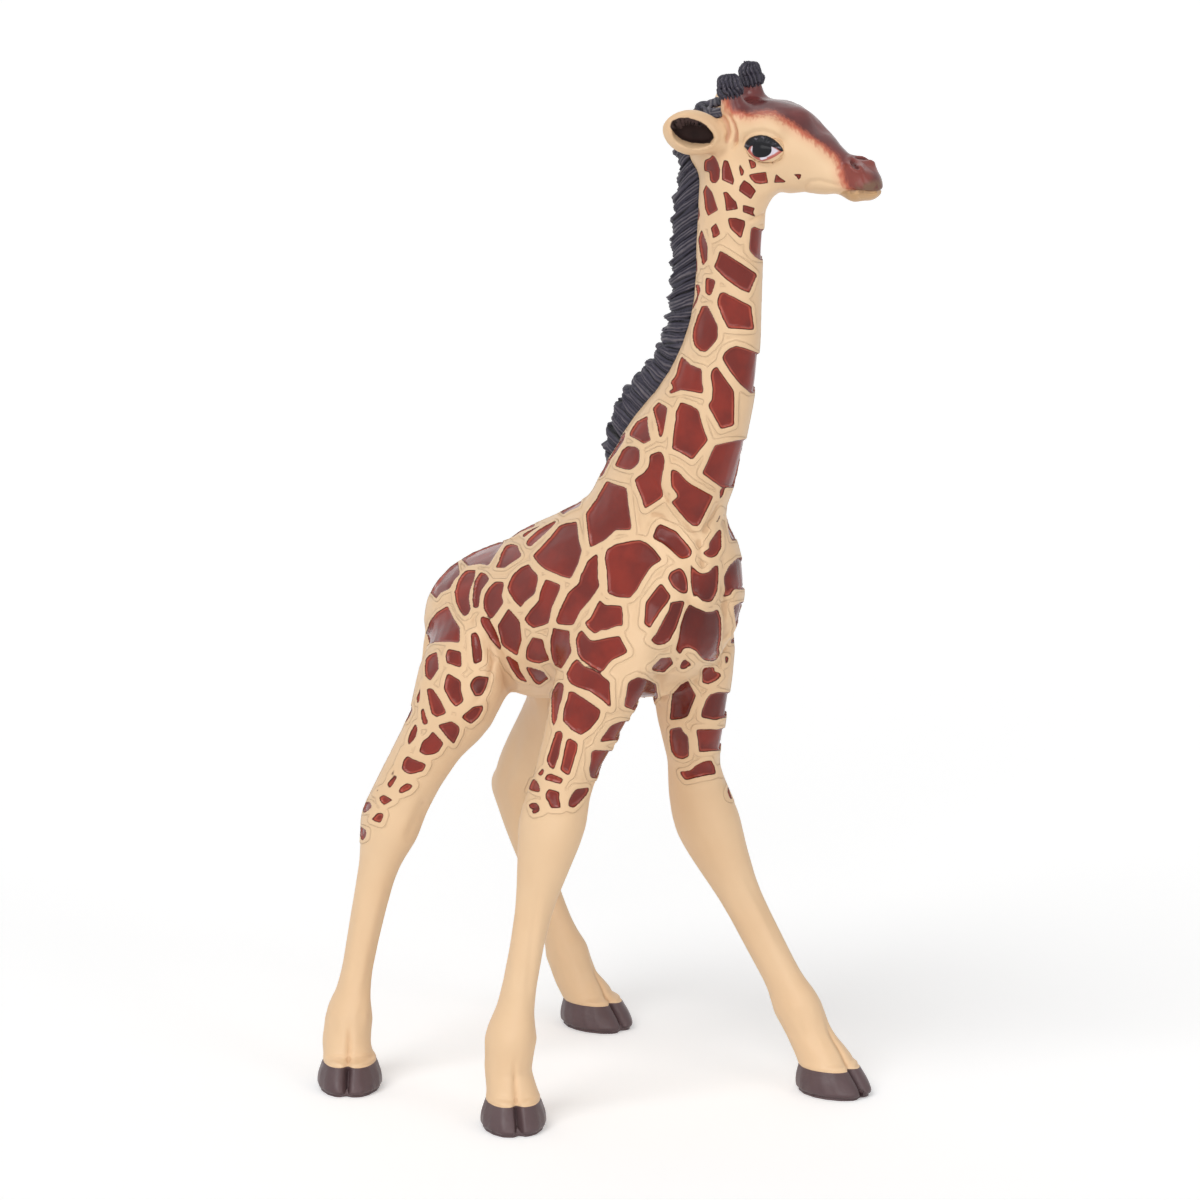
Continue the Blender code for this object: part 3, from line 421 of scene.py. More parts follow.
# Paint relief in the coat's material, in mm
EDGE_RISE = 0.21
EDGE_RISE_BAND = (0.10, -0.04)
LINE_SINK = 0.09
GRAIN_RISE = 0.012

# What the coat's skin keeps for its paint: distances into regions, and, for painted shade, how hollow
# and dark it is
HOLLOW_ROUNDS = 14
HOLLOW_SOFT_ROUNDS = 3
COAT_FIELDS = ["patch", "cap", "muzzle", "fold", "lip", "chin", "nostril", "lash", "ear"]
COAT_SHADES = ["hollow", "patch_painted_shade"]

# The studio: lamps by name, direction round and above the floor in degrees, strength and softness
FLOOR_RADIUS = 6.0
FLOOR_CORNERS = 96
FLOOR_COLOUR = (0.93, 0.93, 0.93)
FLOOR_LIFT = 0.30
SURROUND_LIGHT = 0.36
LAMPS = [
    ("key_lamp", -84, 50, 1.00, 30),
    ("front_lamp", -50, 6, 1.10, 48),
    ("fill_lamp", 2, 22, 0.30, 26),
    ("back_lamp", 150, 45, 0.22, 60),
]


def outline(text):
    """The places in a text such as "703,191 706,185", in pixels across and down."""
    return [tuple(float(number) for number in place.split(",")) for place in text.split()]


def outlines(text):
    """The outlines in a text, each with a semicolon after it."""
    return [outline(part) for part in text.split(";") if part.strip()]


# The head's paint and carving, in pixels of the photograph, which shows its right side
CAP_OUTLINE = outline("""
    727,101 728,107 732,111 740,114 750,116 758,114 766,113 774,114 782,119 790,124 798,129 806,134
    814,139 822,145 829,151 835,156 838,160 840,167 841,174 843,181 848,188 853,194 860,204 900,204
    900,40 700,40 712,92
""")
LIP_OUTLINE = outline("857,184 866,183 876,181 884,182 892,190 886,199 858,199")
CHIN_OUTLINE = outline("838,196 842,192 850,190.5 860,191 870,192 880,191.5 895,188 895,212 838,212")
NOSTRIL_OUTLINE = outline("850,160 852,159 855,160.5 858.5,164 860,168 858,169.5 854,168 851,164.5")
LASH_OUTLINE = outline("""
    744,147 746,142 750,138 755,136 761,135 767,136 773,139 778,143 782,148 783,151 780,151 776,148
    770,146 762,144 755,144 750,147 749,150
""")
EYE_OUTLINE = outline("""
    749,150 750,146 755,143 762,142 770,144 777,148 781,151 775,155 769,158 762,160 756,157 751,153
""")
LOWER_LID = outline("748,150 752,154 757,158 763,160 770,158 776,155 781,151")
EAR_HOLLOW = outline("""
    670,127 672,121 679,118 689,118 699,121 707,126 713,133 714,138 710,143 703,144 692,143 682,140
    675,134
""")
FOLD_LINES = outlines("""
    725,111 730,117 734,124 736,132 735,141;
    722,116 727,123 729,133 727,142;
""")
MUZZLE_MIDDLE = (857, 173)
MUZZLE_REACH = 22
# Carved lines of the head: places along each, half width and depth in mm
HEAD_LINES = [
    ("727,112 730,117 734,124 736,132 736,141 733,148", 0.32, 0.50),
    ("720,114 726,122 729,132 727,144", 0.42, 0.40),
    ("731,114 735,122 739,133 740,146", 0.30, -0.18),
    ("742,151 741,144 745,137 753,132 763,131 773,134 781,140 787,147", 0.38, 0.20),
    ("750,157 757,164 766,167 777,163 787,155", 0.42, 0.18),
    ("805,194 805,187 810,182 819,181 832,184 842,187", 0.34, 0.16),
    ("841,192 850,190.5 860,192 870,193 880,192.5 887,190", 0.24, 0.42),
    ("841,160 842,168 843,177 846,184", 0.60, 0.20),
    ("735,112 752,116 772,114 792,125 812,138 832,152", 0.90, -0.16),
]
# Dents of the head: middle and reach in pixels, and depth in mm
HEAD_DENTS = [
    ((877, 160), 9, 0.60),
    ((824, 124), 16, 0.95),
    ((771, 92), 8, -0.50),
    ((838, 199), 10, 0.45),
    ((864, 205), 12, 0.50),
    ((782, 201), 9, 0.80),
    ((795, 172), 14, 0.22),
]
# Painted shade on some patches: middle and reach in pixels, and share of the shade colour
PAINTED_SHADE_SPOTS = [
    ((704, 612), 42, 0.85),
    ((672, 700), 40, 0.7),
    ((730, 700), 40, 0.6),
    ((478, 690), 28, 0.6),
    ((672, 548), 24, 0.45),
    ((740, 560), 30, 0.6),
]
# Folds of the body: places along each, half width and depth in mm
BODY_LINES = [
    ("652,476 664,496 678,516 692,530 700,534", 0.32, 0.30),
    ("645,512 662,517 678,532 692,549", 0.28, 0.22),
    ("700,534 712,520 722,500", 0.40, 0.30),
    ("698,535 702,556 704,575", 0.50, 0.30),
    ("690,560 690,600 687,640 684,662", 1.20, 0.75),
    ("724,560 727,600 727,640 722,665", 0.80, 0.60),
    ("665,556 673,575 683,592 700,602 716,603", 0.70, -0.28),
    ("655,705 664,680 676,664 692,655", 1.30, 0.50),
    ("480,622 490,640 500,656 508,675 512,700", 0.90, 0.70),
    ("484,640 493,662 489,688 472,706", 0.45, 0.35),
    ("405,845 418,818 428,795", 0.80, 0.35),
    ("522,870 516,940 510,1010", 0.70, -0.18),
    ("540,870 532,940 527,1010", 0.60, 0.20),
    ("390,880 374,950 362,1005", 0.60, 0.20),
    ("366,880 352,950 344,1005", 0.60, -0.14),
    ("742,868 762,905 790,962", 0.60, 0.22),
    ("716,880 742,925 772,980", 0.70, -0.14),
    ("520,720 512,760 500,790 510,830", 0.90, 0.25),
    ("600,800 592,830 580,860", 0.70, 0.25),
    ("746,212 762,205 778,200", 0.28, 0.22),
    ("746,222 762,215 778,211", 0.28, 0.22),
    ("748,229 762,225 778,222", 0.25, 0.18),
]
# Outlines of the coat's patches, in pixels of the photograph
NECK_PATCHES = outlines("""
    703,191 706,185 712,192 718,210 708,216 705,209 704,199;
    723,192 727,192 732,198 736,202 738,209 726,211 725,200;
    744,180 740,186 739,191 751,199 756,191 750,184;
    743,205 755,208 753,213 756,217 743,212;
    729,218 736,218 745,221 745,225 741,239 730,228 728,220;
    711,228 716,223 721,234 713,239 712,232;
    702,229 704,235 708,246 708,260 703,266 701,255 699,242 699,238;
    751,229 755,227 760,229 770,230 770,262 760,260 754,256 749,250 750,236;
    720,250 728,255 757,274 752,286 749,293 740,289 726,279 719,272 714,267 718,258;
    706,277 716,280 714,288 711,296 706,294 706,286;
    720,293 724,292 751,306 752,316 754,330 728,328 722,316 718,305 718,299;
    702,306 708,306 712,314 718,326 718,338 712,346 706,352 700,351 695,346 693,338 694,328 698,316
    701,310;
    696,284 700,285 701,290 698,301 692,312 694,305 698,295 697,290;
    690,240 696,250 698,262 698,272 695,278 690,275;
    695,205 699,208 700,215 698,222 694,218;
    725,352 730,348 736,346 745,348 758,353 768,353 762,393 750,393 740,384 729,370 722,358;
    717,366 720,371 734,391 734,425 721,429 716,420 708,405 712,400 713,390 711,375 712,370;
    682,356 691,365 702,369 702,380 704,394 690,391 681,390 671,394 668,391 674,389 671,382 676,376
    679,365;
    681,402 690,405 699,410 701,420 704,430 708,440 692,460 688,457 680,452 672,449 673,442 674,431
    676,420 676,412;
    653,409 659,402 668,408 666,420 664,430 662,438 660,438 658,427;
    648,416 648,425 650,437 652,440 644,444 641,442 638,440 630,436 631,431 637,422 642,419;
""")
CHEST_PATCHES = outlines("""
    600,440 607,440 616,442 626,432 625,440 618,451 611,460 603,460;
    600,470 606,461 611,461 604,475 600,478;
    623,450 628,446 636,447 640,450 640,457 639,463 634,468 630,470 624,469 615,466 618,460;
    715,445 737,440 752,438 745,465 735,488 726,487 721,487 702,473 707,463 711,453;
    650,455 650,462 648,468 643,474 639,476 635,480 637,486 642,498 645,509 663,497 661,486 662,476
    664,468 665,460 663,454 660,451;
    671,470 673,469 679,472 686,480 691,484 713,496 707,509 701,521 698,526 693,526 688,522 680,513
    671,502 678,497 677,494 672,487 671,480;
    586,514 597,499 607,481 614,484 627,488 628,498 630,514 632,530 616,530 610,536 604,541 598,544
    590,548 588,531;
    606,553 608,549 617,544 632,541 640,540 647,543 654,549 662,560 652,566 648,571 642,581 637,590
    630,598 617,597 608,593 608,587 607,570 605,559;
    653,537 656,528 660,524 667,527 676,531 682,538 689,546 692,551 691,556 687,558 682,559 678,557
    671,550 662,543 654,539;
    719,529 721,531 721,542 721,548 717,555 712,558 707,557 703,553 705,551 709,549 709,543 713,537;
    690,563 694,568 698,572 703,574 709,572 713,567 718,564 719,578 718,587 716,594 712,600 708,602
    702,601 697,595 694,599 693,587 692,578 691,569;
    668,578 671,572 677,569 680,568 684,571 687,577 689,584 689,593 684,594 679,592 673,587;
    646,602 650,597 660,584 662,584 671,596 667,603 660,612 650,628 644,624 645,614;
    585,623 591,618 600,600 605,605 622,606 623,614 623,626 617,626 607,630 602,630 595,634 588,628;
    726,576 729,566 737,558 750,556 750,590 734,589 731,596 724,599 728,593 727,584;
    734,606 740,602 752,600 752,628 742,636 735,643 731,644 733,638 736,628 735,615;
    720,489 725,487 723,495 719,499;
    720,512 718,518 713,525 717,523 720,517;
    722,508 724,517 723,518 722,509;
    726,517 735,520 738,540 731,541 728,531;
""")
FLANK_PATCHES = outlines("""
    560,512 570,503 584,494 580,507 570,511 564,515;
    508,530 520,524 535,519 535,527 520,533 513,538;
    522,536 528,532 534,529 543,525 535,530 529,534 525,538;
    526,543 530,538 538,531 546,526 555,521 557,522 552,528 541,538 531,547 528,546;
    533,556 540,549 550,538 560,526 568,523 577,522 578,530 579,540 582,551 578,565 571,579 561,576
    545,569 539,564;
    496,568 499,562 501,555 506,546 512,544 518,546 519,550 522,555 520,558 512,563 505,568 499,568;
    462,560 478,545 500,532 504,543 499,550 494,558 489,566 481,564 468,566;
    430,592 445,572 458,560 460,575 455,580 450,589 441,593 437,599;
    466,571 476,570 475,578 471,588 469,598 471,610 468,615 465,617 460,611 456,602 455,592 458,582
    462,575;
    481,572 486,574 490,579 488,582 482,590 480,598 479,608 474,608 473,600 474,588 476,580;
    484,602 485,595 489,588 495,582 504,582 504,588 502,596 504,603 499,610 492,619 488,615 484,609;
    508,588 510,581 514,574 521,568 529,564 532,569 538,575 538,582 535,594 525,602 521,608 514,600
    509,592;
    524,619 531,610 539,601 541,591 546,579 561,585 559,592 552,608 549,623 544,625 534,628 529,625;
    556,621 561,608 569,592 579,584 581,576 588,561 598,553 598,562 598,578 600,586 591,599 580,612
    574,625 566,625 558,624;
    498,626 504,616 509,608 512,612 520,621 521,631 522,640 519,650 518,656 510,651 502,646 500,636;
    480,619 483,616 490,620 495,630 498,638 500,648 500,652 498,651 494,645 488,638 482,626;
    471,634 476,632 478,635 480,641 482,652 482,661 474,665 473,658 472,648;
    448,606 438,612 431,620 427,632 424,644 423,652 426,649 430,644 436,642 452,642 460,643 460,628
    454,619;
""")
HIND_LEG_PATCHES = outlines("""
    426,660 430,655 437,652 438,657 439,669 431,681 426,677 425,668;
    447,651 449,649 461,652 462,668 447,663 446,657;
    448,673 461,681 461,690 464,701 456,707 450,700 444,689 445,681;
    470,684 474,678 478,676 489,677 488,681 486,689 482,696 475,696 471,689;
    427,688 433,689 440,699 447,713 437,717 432,714 430,706;
    461,717 473,707 483,705 483,709 479,717 471,724;
    438,725 452,721 460,727 459,733 454,744 448,738;
    433,731 444,743 439,751 434,754 426,755 419,752 423,741 429,737;
    408,756 413,759 421,762 427,764 423,771 412,774 407,773 402,769 404,760;
    407,783 414,785 409,790 402,793 398,793 401,787;
    396,775 398,777 394,783 390,789 387,784 391,780;
    379,797 384,795 394,800 384,805 381,802;
    364,802 370,802 373,807 368,811 364,813 363,809;
    378,813 383,813 384,815 381,823 371,820 374,817;
    361,826 367,831 366,838 362,841 360,831;
    420,691 422,681 421,690 420,701 418,704 417,698;
    421,711 424,707 426,716 429,723 424,725 422,720;
    416,723 418,729 416,737 409,746 408,741 411,732;
    410,696 413,711 410,717 407,722 398,725 398,700;
    404,749 402,754 398,763 401,756;
    396,768 394,774 390,777 392,773;
    382,788 379,791 374,794 377,790;
    421,653 418,665 414,685 408,690 412,665 417,650;
""")
NEAR_FORELEG_PATCHES = outlines("""
    533,637 543,639 545,648 550,660 540,663 532,662 526,659 527,648 531,640;
    551,639 554,627 557,629 570,631 570,642 572,652 568,659 562,669 556,666 552,658 551,648;
    576,641 578,634 582,630 590,640 594,641 607,638 620,636 622,641 628,652 623,655 612,660 607,666
    604,670 601,672 592,667 582,660 578,654;
    505,658 508,656 518,662 520,670 528,682 523,681 517,678 511,670;
    526,666 534,668 543,671 549,678 539,685 534,681 528,672;
    567,674 572,664 577,659 584,666 599,673 610,682 610,692 611,708 601,699 590,691 577,687 570,683
    568,679;
    552,693 556,686 559,682 564,684 564,689 563,696 559,709 557,720 554,727 552,720 552,707;
    569,691 574,692 588,701 601,710 599,718 590,729 581,735 572,730 563,721 564,709 568,698;
    626,696 628,683 631,680 638,677 646,679 652,682 657,687 658,697 645,716 637,713 634,710 624,706
    625,700;
    610,726 618,722 627,720 634,722 624,740 612,740 599,742 600,740 606,732;
    591,752 594,750 618,750 600,778 592,778 590,776 589,769 591,760;
    556,732 558,731 562,731 563,736 561,744 559,756 554,770 549,766 547,760 550,750;
    567,740 570,738 578,743 577,751 574,760 570,774 568,775 560,770 562,763 564,753 566,744;
    538,774 543,768 545,771 542,776 538,775;
    544,780 548,774 552,774 564,779 561,784 550,781;
    529,790 533,780 535,779 539,784 541,792 537,792;
    546,793 549,789 560,792 559,798 561,808 551,808 548,801 546,799;
    576,789 589,787 587,794 579,803 573,808 568,806 569,800 572,794;
    529,804 533,803 537,803 540,807 540,810 542,811 534,814 532,812 534,810 538,809 537,807 532,809
    530,808;
""")
FAR_FORELEG_PATCHES = outlines("""
    671,602 681,601 686,602 681,615 676,629 670,640 664,644 659,645 655,644 650,640 656,634 662,622
    669,610;
    691,605 696,608 706,612 710,612 715,611 716,608 719,612 722,619 723,631 722,640 720,650 718,658
    712,661 704,660 700,656 696,651 690,650 684,652 681,658 676,650 679,640 681,626 685,615 689,609;
    651,668 659,660 660,658 671,658 674,666 665,675 652,670;
    680,670 682,665 686,661 692,665 685,670;
    702,670 704,667 714,667 714,671 720,673 721,676 715,681 708,684 702,682 702,678;
    672,694 681,684 688,680 690,685 696,695 692,705 688,716 681,719 670,720 671,709;
    706,700 710,694 718,692 735,692 735,715 722,718 715,720 701,717 702,710;
    670,729 679,727 681,726 683,731 688,736 689,745 689,756 683,759 676,757 672,752 670,741;
    696,729 718,729 730,726 724,750 710,751 699,752 698,740;
    680,771 684,771 691,770 696,765 704,761 711,760 714,766 716,774 702,776 686,780 682,776;
    719,766 722,776 720,770;
    727,786 732,800 729,798 727,792;
    726,656 729,656 728,662 725,665;
""")
HEAD_PATCHES = outlines("""
    704,163 705,160 710,158 712,155 715,157 718,163 720,170 719,179 716,183 712,183 710,180 709,172
    704,171;
    724,160 728,161 731,170 734,180 733,185 722,180 722,168;
    739,168 740,164 742,168 744,171 743,175 741,176 740,172;
    748,159 751,160 755,163 756,167 754,168 751,169 749,162;
    749,175 752,174 760,173 766,172 767,178 768,183 760,184 755,183 751,179;
    776,174 780,178 786,182 784,183 774,183;
    793,175 801,175 800,179 798,181 797,178;
""")

BODY_OUTLINES = NECK_PATCHES + CHEST_PATCHES + FLANK_PATCHES + HIND_LEG_PATCHES
BODY_OUTLINES += NEAR_FORELEG_PATCHES + FAR_FORELEG_PATCHES + HEAD_PATCHES
HEAD_REGIONS = {
    "cap": CAP_OUTLINE,
    "lip": LIP_OUTLINE,
    "chin": CHIN_OUTLINE,
    "nostril": NOSTRIL_OUTLINE,
    "lash": LASH_OUTLINE,
}


def photo_axes():
    """The photograph's camera: its place, and the directions back to it, right and up."""
    turn = np.radians(PHOTO_AZIMUTH)
    rise = np.radians(PHOTO_HEIGHT_ANGLE)
    back = np.array([np.sin(turn) * np.cos(rise), -np.cos(turn) * np.cos(rise), np.sin(rise)])
    right = np.array([np.cos(turn), np.sin(turn), 0])
    up = np.cross(back, right)
    return np.array(PHOTO_TARGET) + back * PHOTO_DISTANCE, back, right, up


def photo_pixels(places):
    """Where places fall in the photograph."""
    eye, back, right, up = photo_axes()
    offset = places - eye
    depth = -(offset @ back)
    across = PHOTO_SIZE / 2 + PHOTO_FOCAL * (offset @ right) / depth
    down = PHOTO_SIZE / 2 - PHOTO_FOCAL * (offset @ up) / depth
    return np.stack([across, down], axis=1)


def head_axes():
    """The head's axes as columns: forward, left and up."""
    turn = Matrix.Rotation(np.radians(HEAD_TURN), 3, "Z")
    return np.array(turn @ Matrix.Rotation(np.radians(HEAD_ROLL), 3, "X"))


def to_head(places):
    """Places in the head's axes."""
    return (places - np.array(HEAD_ROOT)) @ head_axes()


def from_head(places):
    """Places given in the head's axes, back in the frame's."""
    return places @ head_axes().T + np.array(HEAD_ROOT)


def mirrored(places):
    """The same places on the head's other side."""
    local = to_head(places)
    local[:, 1] *= -1
    return from_head(local)


def right_in_head(places):
    """Places in the head's axes, with those on its left mirrored to its right."""
    local = to_head(places)
    local[:, 1] = -abs(local[:, 1])
    return local


def on_right(places):
    """The same places with those on the head's left mirrored to its right."""
    return from_head(right_in_head(places))


def box_middle(node):
    """The middle of a frame node's box."""
    low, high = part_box(node)
    return np.array((low + high) / 2)


def smoothstep(low, high, values):
    """Turns values from low to high into ones from 0 to 1, smoothly."""
    share = np.clip((values - low) / (high - low), 0, 1)
    return share * share * (3 - 2 * share)


def bell(values, width):
    """A smooth bump of height 1 round 0."""
    return np.exp(-((values / width) ** 2))


def lengths_of(offsets):
    """The length of each row."""
    return np.linalg.norm(offsets, axis=1)


def read_rows(items, name, width=3, kind=np.float32):
    """One row of numbers for each item of a mesh."""
    flat = np.empty(len(items) * width, kind)
    items.foreach_get(name, flat)
    return flat.reshape(-1, width)


def mesh_places(mesh):
    return read_rows(mesh.vertices, "co").astype(float)


def mesh_normals(mesh):
    return read_rows(mesh.vertex_normals, "vector").astype(float)


def mesh_edges(mesh):
    return read_rows(mesh.edges, "vertices", 2, np.int32).T


def set_places(mesh, places):
    mesh.vertices.foreach_set("co", np.asarray(places, np.float32).ravel())
    mesh.update()


def set_field(mesh, name, values):
    """Keeps one number for each vertex, which a material can read."""
    layer = mesh.attributes.new(name, "FLOAT", "POINT")
    layer.data.foreach_set("value", np.asarray(values, np.float32))


def smooth_shaded(mesh):
    mesh.polygons.foreach_set("use_smooth", np.ones(len(mesh.polygons), bool))
    return mesh


def averaged(values, edges):
    """Each vertex's mean of its neighbours' values."""
    first, second = edges
    count = len(values)
    table = values.reshape(count, -1)
    sums = np.zeros(table.shape)
    for column in range(table.shape[1]):
        sums[:, column] = np.bincount(first, table[second, column], count)
        sums[:, column] += np.bincount(second, table[first, column], count)
    shares = np.bincount(first, minlength=count) + np.bincount(second, minlength=count)
    return (sums / np.maximum(shares, 1)[:, None]).reshape(values.shape)


def softened(values, edges, rounds):
    """Values drawn towards their neighbours' mean, again and again."""
    for _ in range(rounds):
        values = values + (averaged(values, edges) - values) * SMOOTH_IN
    return values


def smooth_mesh(mesh, rounds):
    """Erases facets and keeps the form: each round draws the surface in and swells it again."""
    edges = mesh_edges(mesh)
    places = mesh_places(mesh)
    for _ in range(rounds):
        for rate in (SMOOTH_IN, SMOOTH_OUT):
            places = places + (averaged(places, edges) - places) * rate
    set_places(mesh, places)


def add_object(name, data):
    made = bpy.data.objects.new(name, data)
    bpy.context.scene.collection.objects.link(made)
    return made


def form_mesh(name, form):
    """Turns a bmesh into a mesh and frees it."""
    mesh = bpy.data.meshes.new(name)
    form.to_mesh(mesh)
    form.free()
    return mesh


@contextmanager
def edited(mesh):
    """Gives a mesh as a bmesh, and writes that back to it at the end."""
    form = bmesh.new()
    form.from_mesh(mesh)
    yield form
    form.to_mesh(mesh)
    form.free()


def evaluated_mesh(made):
    """The mesh of an object with its modifiers applied. The object is removed."""
    bpy.context.view_layer.update()
    shown = made.evaluated_get(bpy.context.evaluated_depsgraph_get())
    mesh = bpy.data.meshes.new_from_object(shown)
    mesh.name = made.name
    bpy.data.objects.remove(made)
    return mesh


def largest_part(mesh):
    """Keeps the one connected surface with the most vertices, without the hollows inside it."""
    first, second = mesh_edges(mesh)
    label = np.arange(len(mesh.vertices))
    while True:
        least = np.minimum(label[first], label[second])
        new = label.copy()
        np.minimum.at(new, first, least)
        np.minimum.at(new, second, least)
        new = new[new]
        if (new == label).all():
            break
        label = new
    names, sizes = np.unique(label, return_counts=True)
    if len(names) > 1:
        with edited(mesh) as form:
            form.verts.ensure_lookup_table()
            spare = [form.verts[index] for index in np.flatnonzero(label != names[sizes.argmax()])]
            bmesh.ops.delete(form, geom=spare, context="VERTS")
    return mesh


def node_forms(nodes, swell):
    """Closed copies of frame nodes, in one mesh, with their skins swollen."""
    whole = bmesh.new()
    for name in nodes:
        form = bmesh.new()
        form.from_mesh(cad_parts[name].data)
        bmesh.ops.remove_doubles(form, verts=form.verts, dist=MERGE_REACH)
        form.normal_update()
        moves = [vertex.normal * swell * vertex.calc_shell_factor() for vertex in form.verts]
        for vertex, move in zip(form.verts, moves):
            vertex.co += move
        mesh = form_mesh(name + "_form", form)
        whole.from_mesh(mesh)
        bpy.data.meshes.remove(mesh)
    return form_mesh("forms", whole)


def skinned(nodes, swell, grain, rounds):
    """One even, smoothed skin over swollen copies of frame nodes."""
    mesh = node_forms(nodes, swell)
    made = add_object(mesh.name, mesh)
    skin = made.modifiers.new("skin", "REMESH")
    skin.mode = "VOXEL"
    skin.voxel_size = grain
    mesh = largest_part(evaluated_mesh(made))
    smooth_mesh(mesh, rounds)
    return mesh


def spot_distance(pixels, middle):
    """Distance in pixels to one place."""
    return lengths_of(pixels - np.array(middle))


def nearest_on_side(pixels, start, end):
    """Squared distance to a straight side, and the share along it of the nearest place."""
    side = end - start
    offset = pixels - start
    share = np.clip(offset @ side / (side @ side), 0, 1)
    return ((offset - share[:, None] * side) ** 2).sum(axis=1), share


def outline_distance(pixels, corners):
    """Distance in pixels to a closed outline, positive inside it."""
    corners = np.array(corners, float)
    nearest = np.full(len(pixels), np.inf)
    inside = np.zeros(len(pixels), bool)
    for start, end in zip(corners, np.roll(corners, -1, axis=0)):
        nearest = np.minimum(nearest, nearest_on_side(pixels, start, end)[0])
        across, down = end - start
        spans = (start[1] > pixels[:, 1]) != (end[1] > pixels[:, 1])
        crossing = start[0] + (pixels[:, 1] - start[1]) * across / (down if down else 1)
        inside ^= spans & (pixels[:, 0] < crossing)
    return np.sqrt(nearest) * np.where(inside, 1, -1)


def outlines_distance(pixels, shapes):
    """The greatest distance in pixels into any of some outlines, at least minus their reach."""
    field = np.full(len(pixels), -float(OUTLINE_REACH))
    for shape in shapes:
        corners = np.array(shape, float)
        low, high = corners.min(axis=0) - OUTLINE_REACH, corners.max(axis=0) + OUTLINE_REACH
        near = np.flatnonzero(((pixels > low) & (pixels < high)).all(axis=1))
        if len(near):
            field[near] = np.maximum(field[near], outline_distance(pixels[near], corners))
    return field


def line_distance(pixels, line):
    """Distance to an open line of places, and how far along it the nearest place is."""
    points = np.array(line, float)
    nearest = np.full(len(pixels), np.inf)
    along = np.zeros(len(pixels))
    for count, (start, end) in enumerate(zip(points, points[1:])):
        square, share = nearest_on_side(pixels, start, end)
        closer = square < nearest
        nearest = np.where(closer, square, nearest)
        along = np.where(closer, (count + share) / (len(points) - 1), along)
    return np.sqrt(nearest), along


def facing_camera(mesh, places, normals):
    """How squarely each vertex faces the photograph's camera, and whether nothing hides it."""
    eye, back, _, _ = photo_axes()
    facing = normals @ back
    polygons = [tuple(polygon.vertices) for polygon in mesh.polygons]
    tree = BVHTree.FromPolygons([Vector(place) for place in places], polygons)
    seen = np.zeros(len(places), bool)
    for index in np.flatnonzero(facing > SEEN_FACING):
        start = Vector(places[index] + normals[index] * COAT_GRAIN)
        way = (Vector(eye) - start).normalized()
        seen[index] = tree.ray_cast(start, way)[0] is None
    return facing, seen


def nearest_seen(places, seen):
    """For each hidden vertex, the nearest seen one and the distance to it."""
    tree = KDTree(int(seen.sum()))
    for index in np.flatnonzero(seen):
        tree.insert(Vector(places[index]), int(index))
    tree.balance()
    source = np.arange(len(places))
    away = np.zeros(len(places))
    for index in np.flatnonzero(~seen):
        _, source[index], away[index] = tree.find(Vector(places[index]))
    return source, away


def head_fields(places):
    """The head's paint regions as distances into them, for both sides alike."""
    pixels = photo_pixels(on_right(places))
    fields = {name: outline_distance(pixels, shape) for name, shape in HEAD_REGIONS.items()}
    fields["cap"] += CAP_WIDER * smoothstep(*CAP_WIDENING, to_head(places)[:, 1])
    fields["fold"] = -np.minimum(*[line_distance(pixels, line)[0] for line in FOLD_LINES])
    fields["muzzle"] = MUZZLE_REACH - spot_distance(pixels, MUZZLE_MIDDLE)
    on_head = places[:, 2] > HEAD_PAINT_LOW
    return {name: np.where(on_head, field * PIXEL, FAR_OUT) for name, field in fields.items()}


def carved(pixels, lines, fade, least):
    """How far carved lines move the skin. Towards its ends each thins out to its least depth."""
    moved = np.zeros(len(pixels))
    for text, width, depth in lines:
        away, along = line_distance(pixels, outline(text))
        ends = smoothstep(0, fade, along) * smoothstep(1, 1 - fade, along)
        moved -= depth * MM * bell(away * PIXEL, width * MM) * (least + (1 - least) * ends)
    return moved


def head_relief(places):
    """How far the head's carving moves its skin."""
    pixels = photo_pixels(on_right(places))
    moved = carved(pixels, HEAD_LINES, *HEAD_LINE_ENDS)
    nostril = outline_distance(pixels, NOSTRIL_OUTLINE) * PIXEL
    moved -= NOSTRIL_DEPTH * smoothstep(*NOSTRIL_EDGE, nostril)
    moved += NOSTRIL_RIM * bell(nostril + NOSTRIL_RIM_PLACE, NOSTRIL_RIM_WIDTH)
    for middle, reach, depth in HEAD_DENTS:
        moved -= depth * MM * bell(spot_distance(pixels, middle), reach)
    return np.where(places[:, 2] > HEAD_CARVING_LOW, moved, 0)


def body_relief(places, facing, seen):
    """Folds, tendons and bony ridges carved by lines laid on from the photograph."""
    moved = carved(photo_pixels(places), BODY_LINES, *BODY_LINE_ENDS)
    return moved * smoothstep(*BODY_LINE_FACING, facing) * seen * (places[:, 2] < HEAD_PLANE)


def painted_patch_shade(places):
    """How much painted shade the patches get between the forelegs and on the thighs."""
    pixels = photo_pixels(places)
    shade = np.zeros(len(places))
    for middle, reach, share in PAINTED_SHADE_SPOTS:
        shade = np.maximum(shade, share * bell(spot_distance(pixels, middle), reach))
    return shade


def eye_ball(ball):
    """The right eye's ball from a round one: its places and outward directions."""
    look = Vector(EYE_LOOK).normalized()
    forward = Vector(EYE_SLANT)
    forward = (forward - forward.dot(look) * look).normalized()
    axes = np.array([forward, look, forward.cross(look)]).T
    middle = to_head(box_middle("eye_right")[None])[0]
    ball = ball[:, [0, 2, 1]] * np.array([1, -1, 1])
    local = middle + (ball * np.array(EYE_SIZES) / 2) @ axes.T
    return from_head(local), (ball @ axes.T) @ head_axes().T


def lash_wave(pixels):
    """A wave that runs round the iris, as the lashes fan out."""
    offset = pixels - np.array(IRIS_MIDDLE)
    return np.sin(np.arctan2(offset[:, 0], -offset[:, 1] * LASH_SPREAD) * LASH_COUNT)


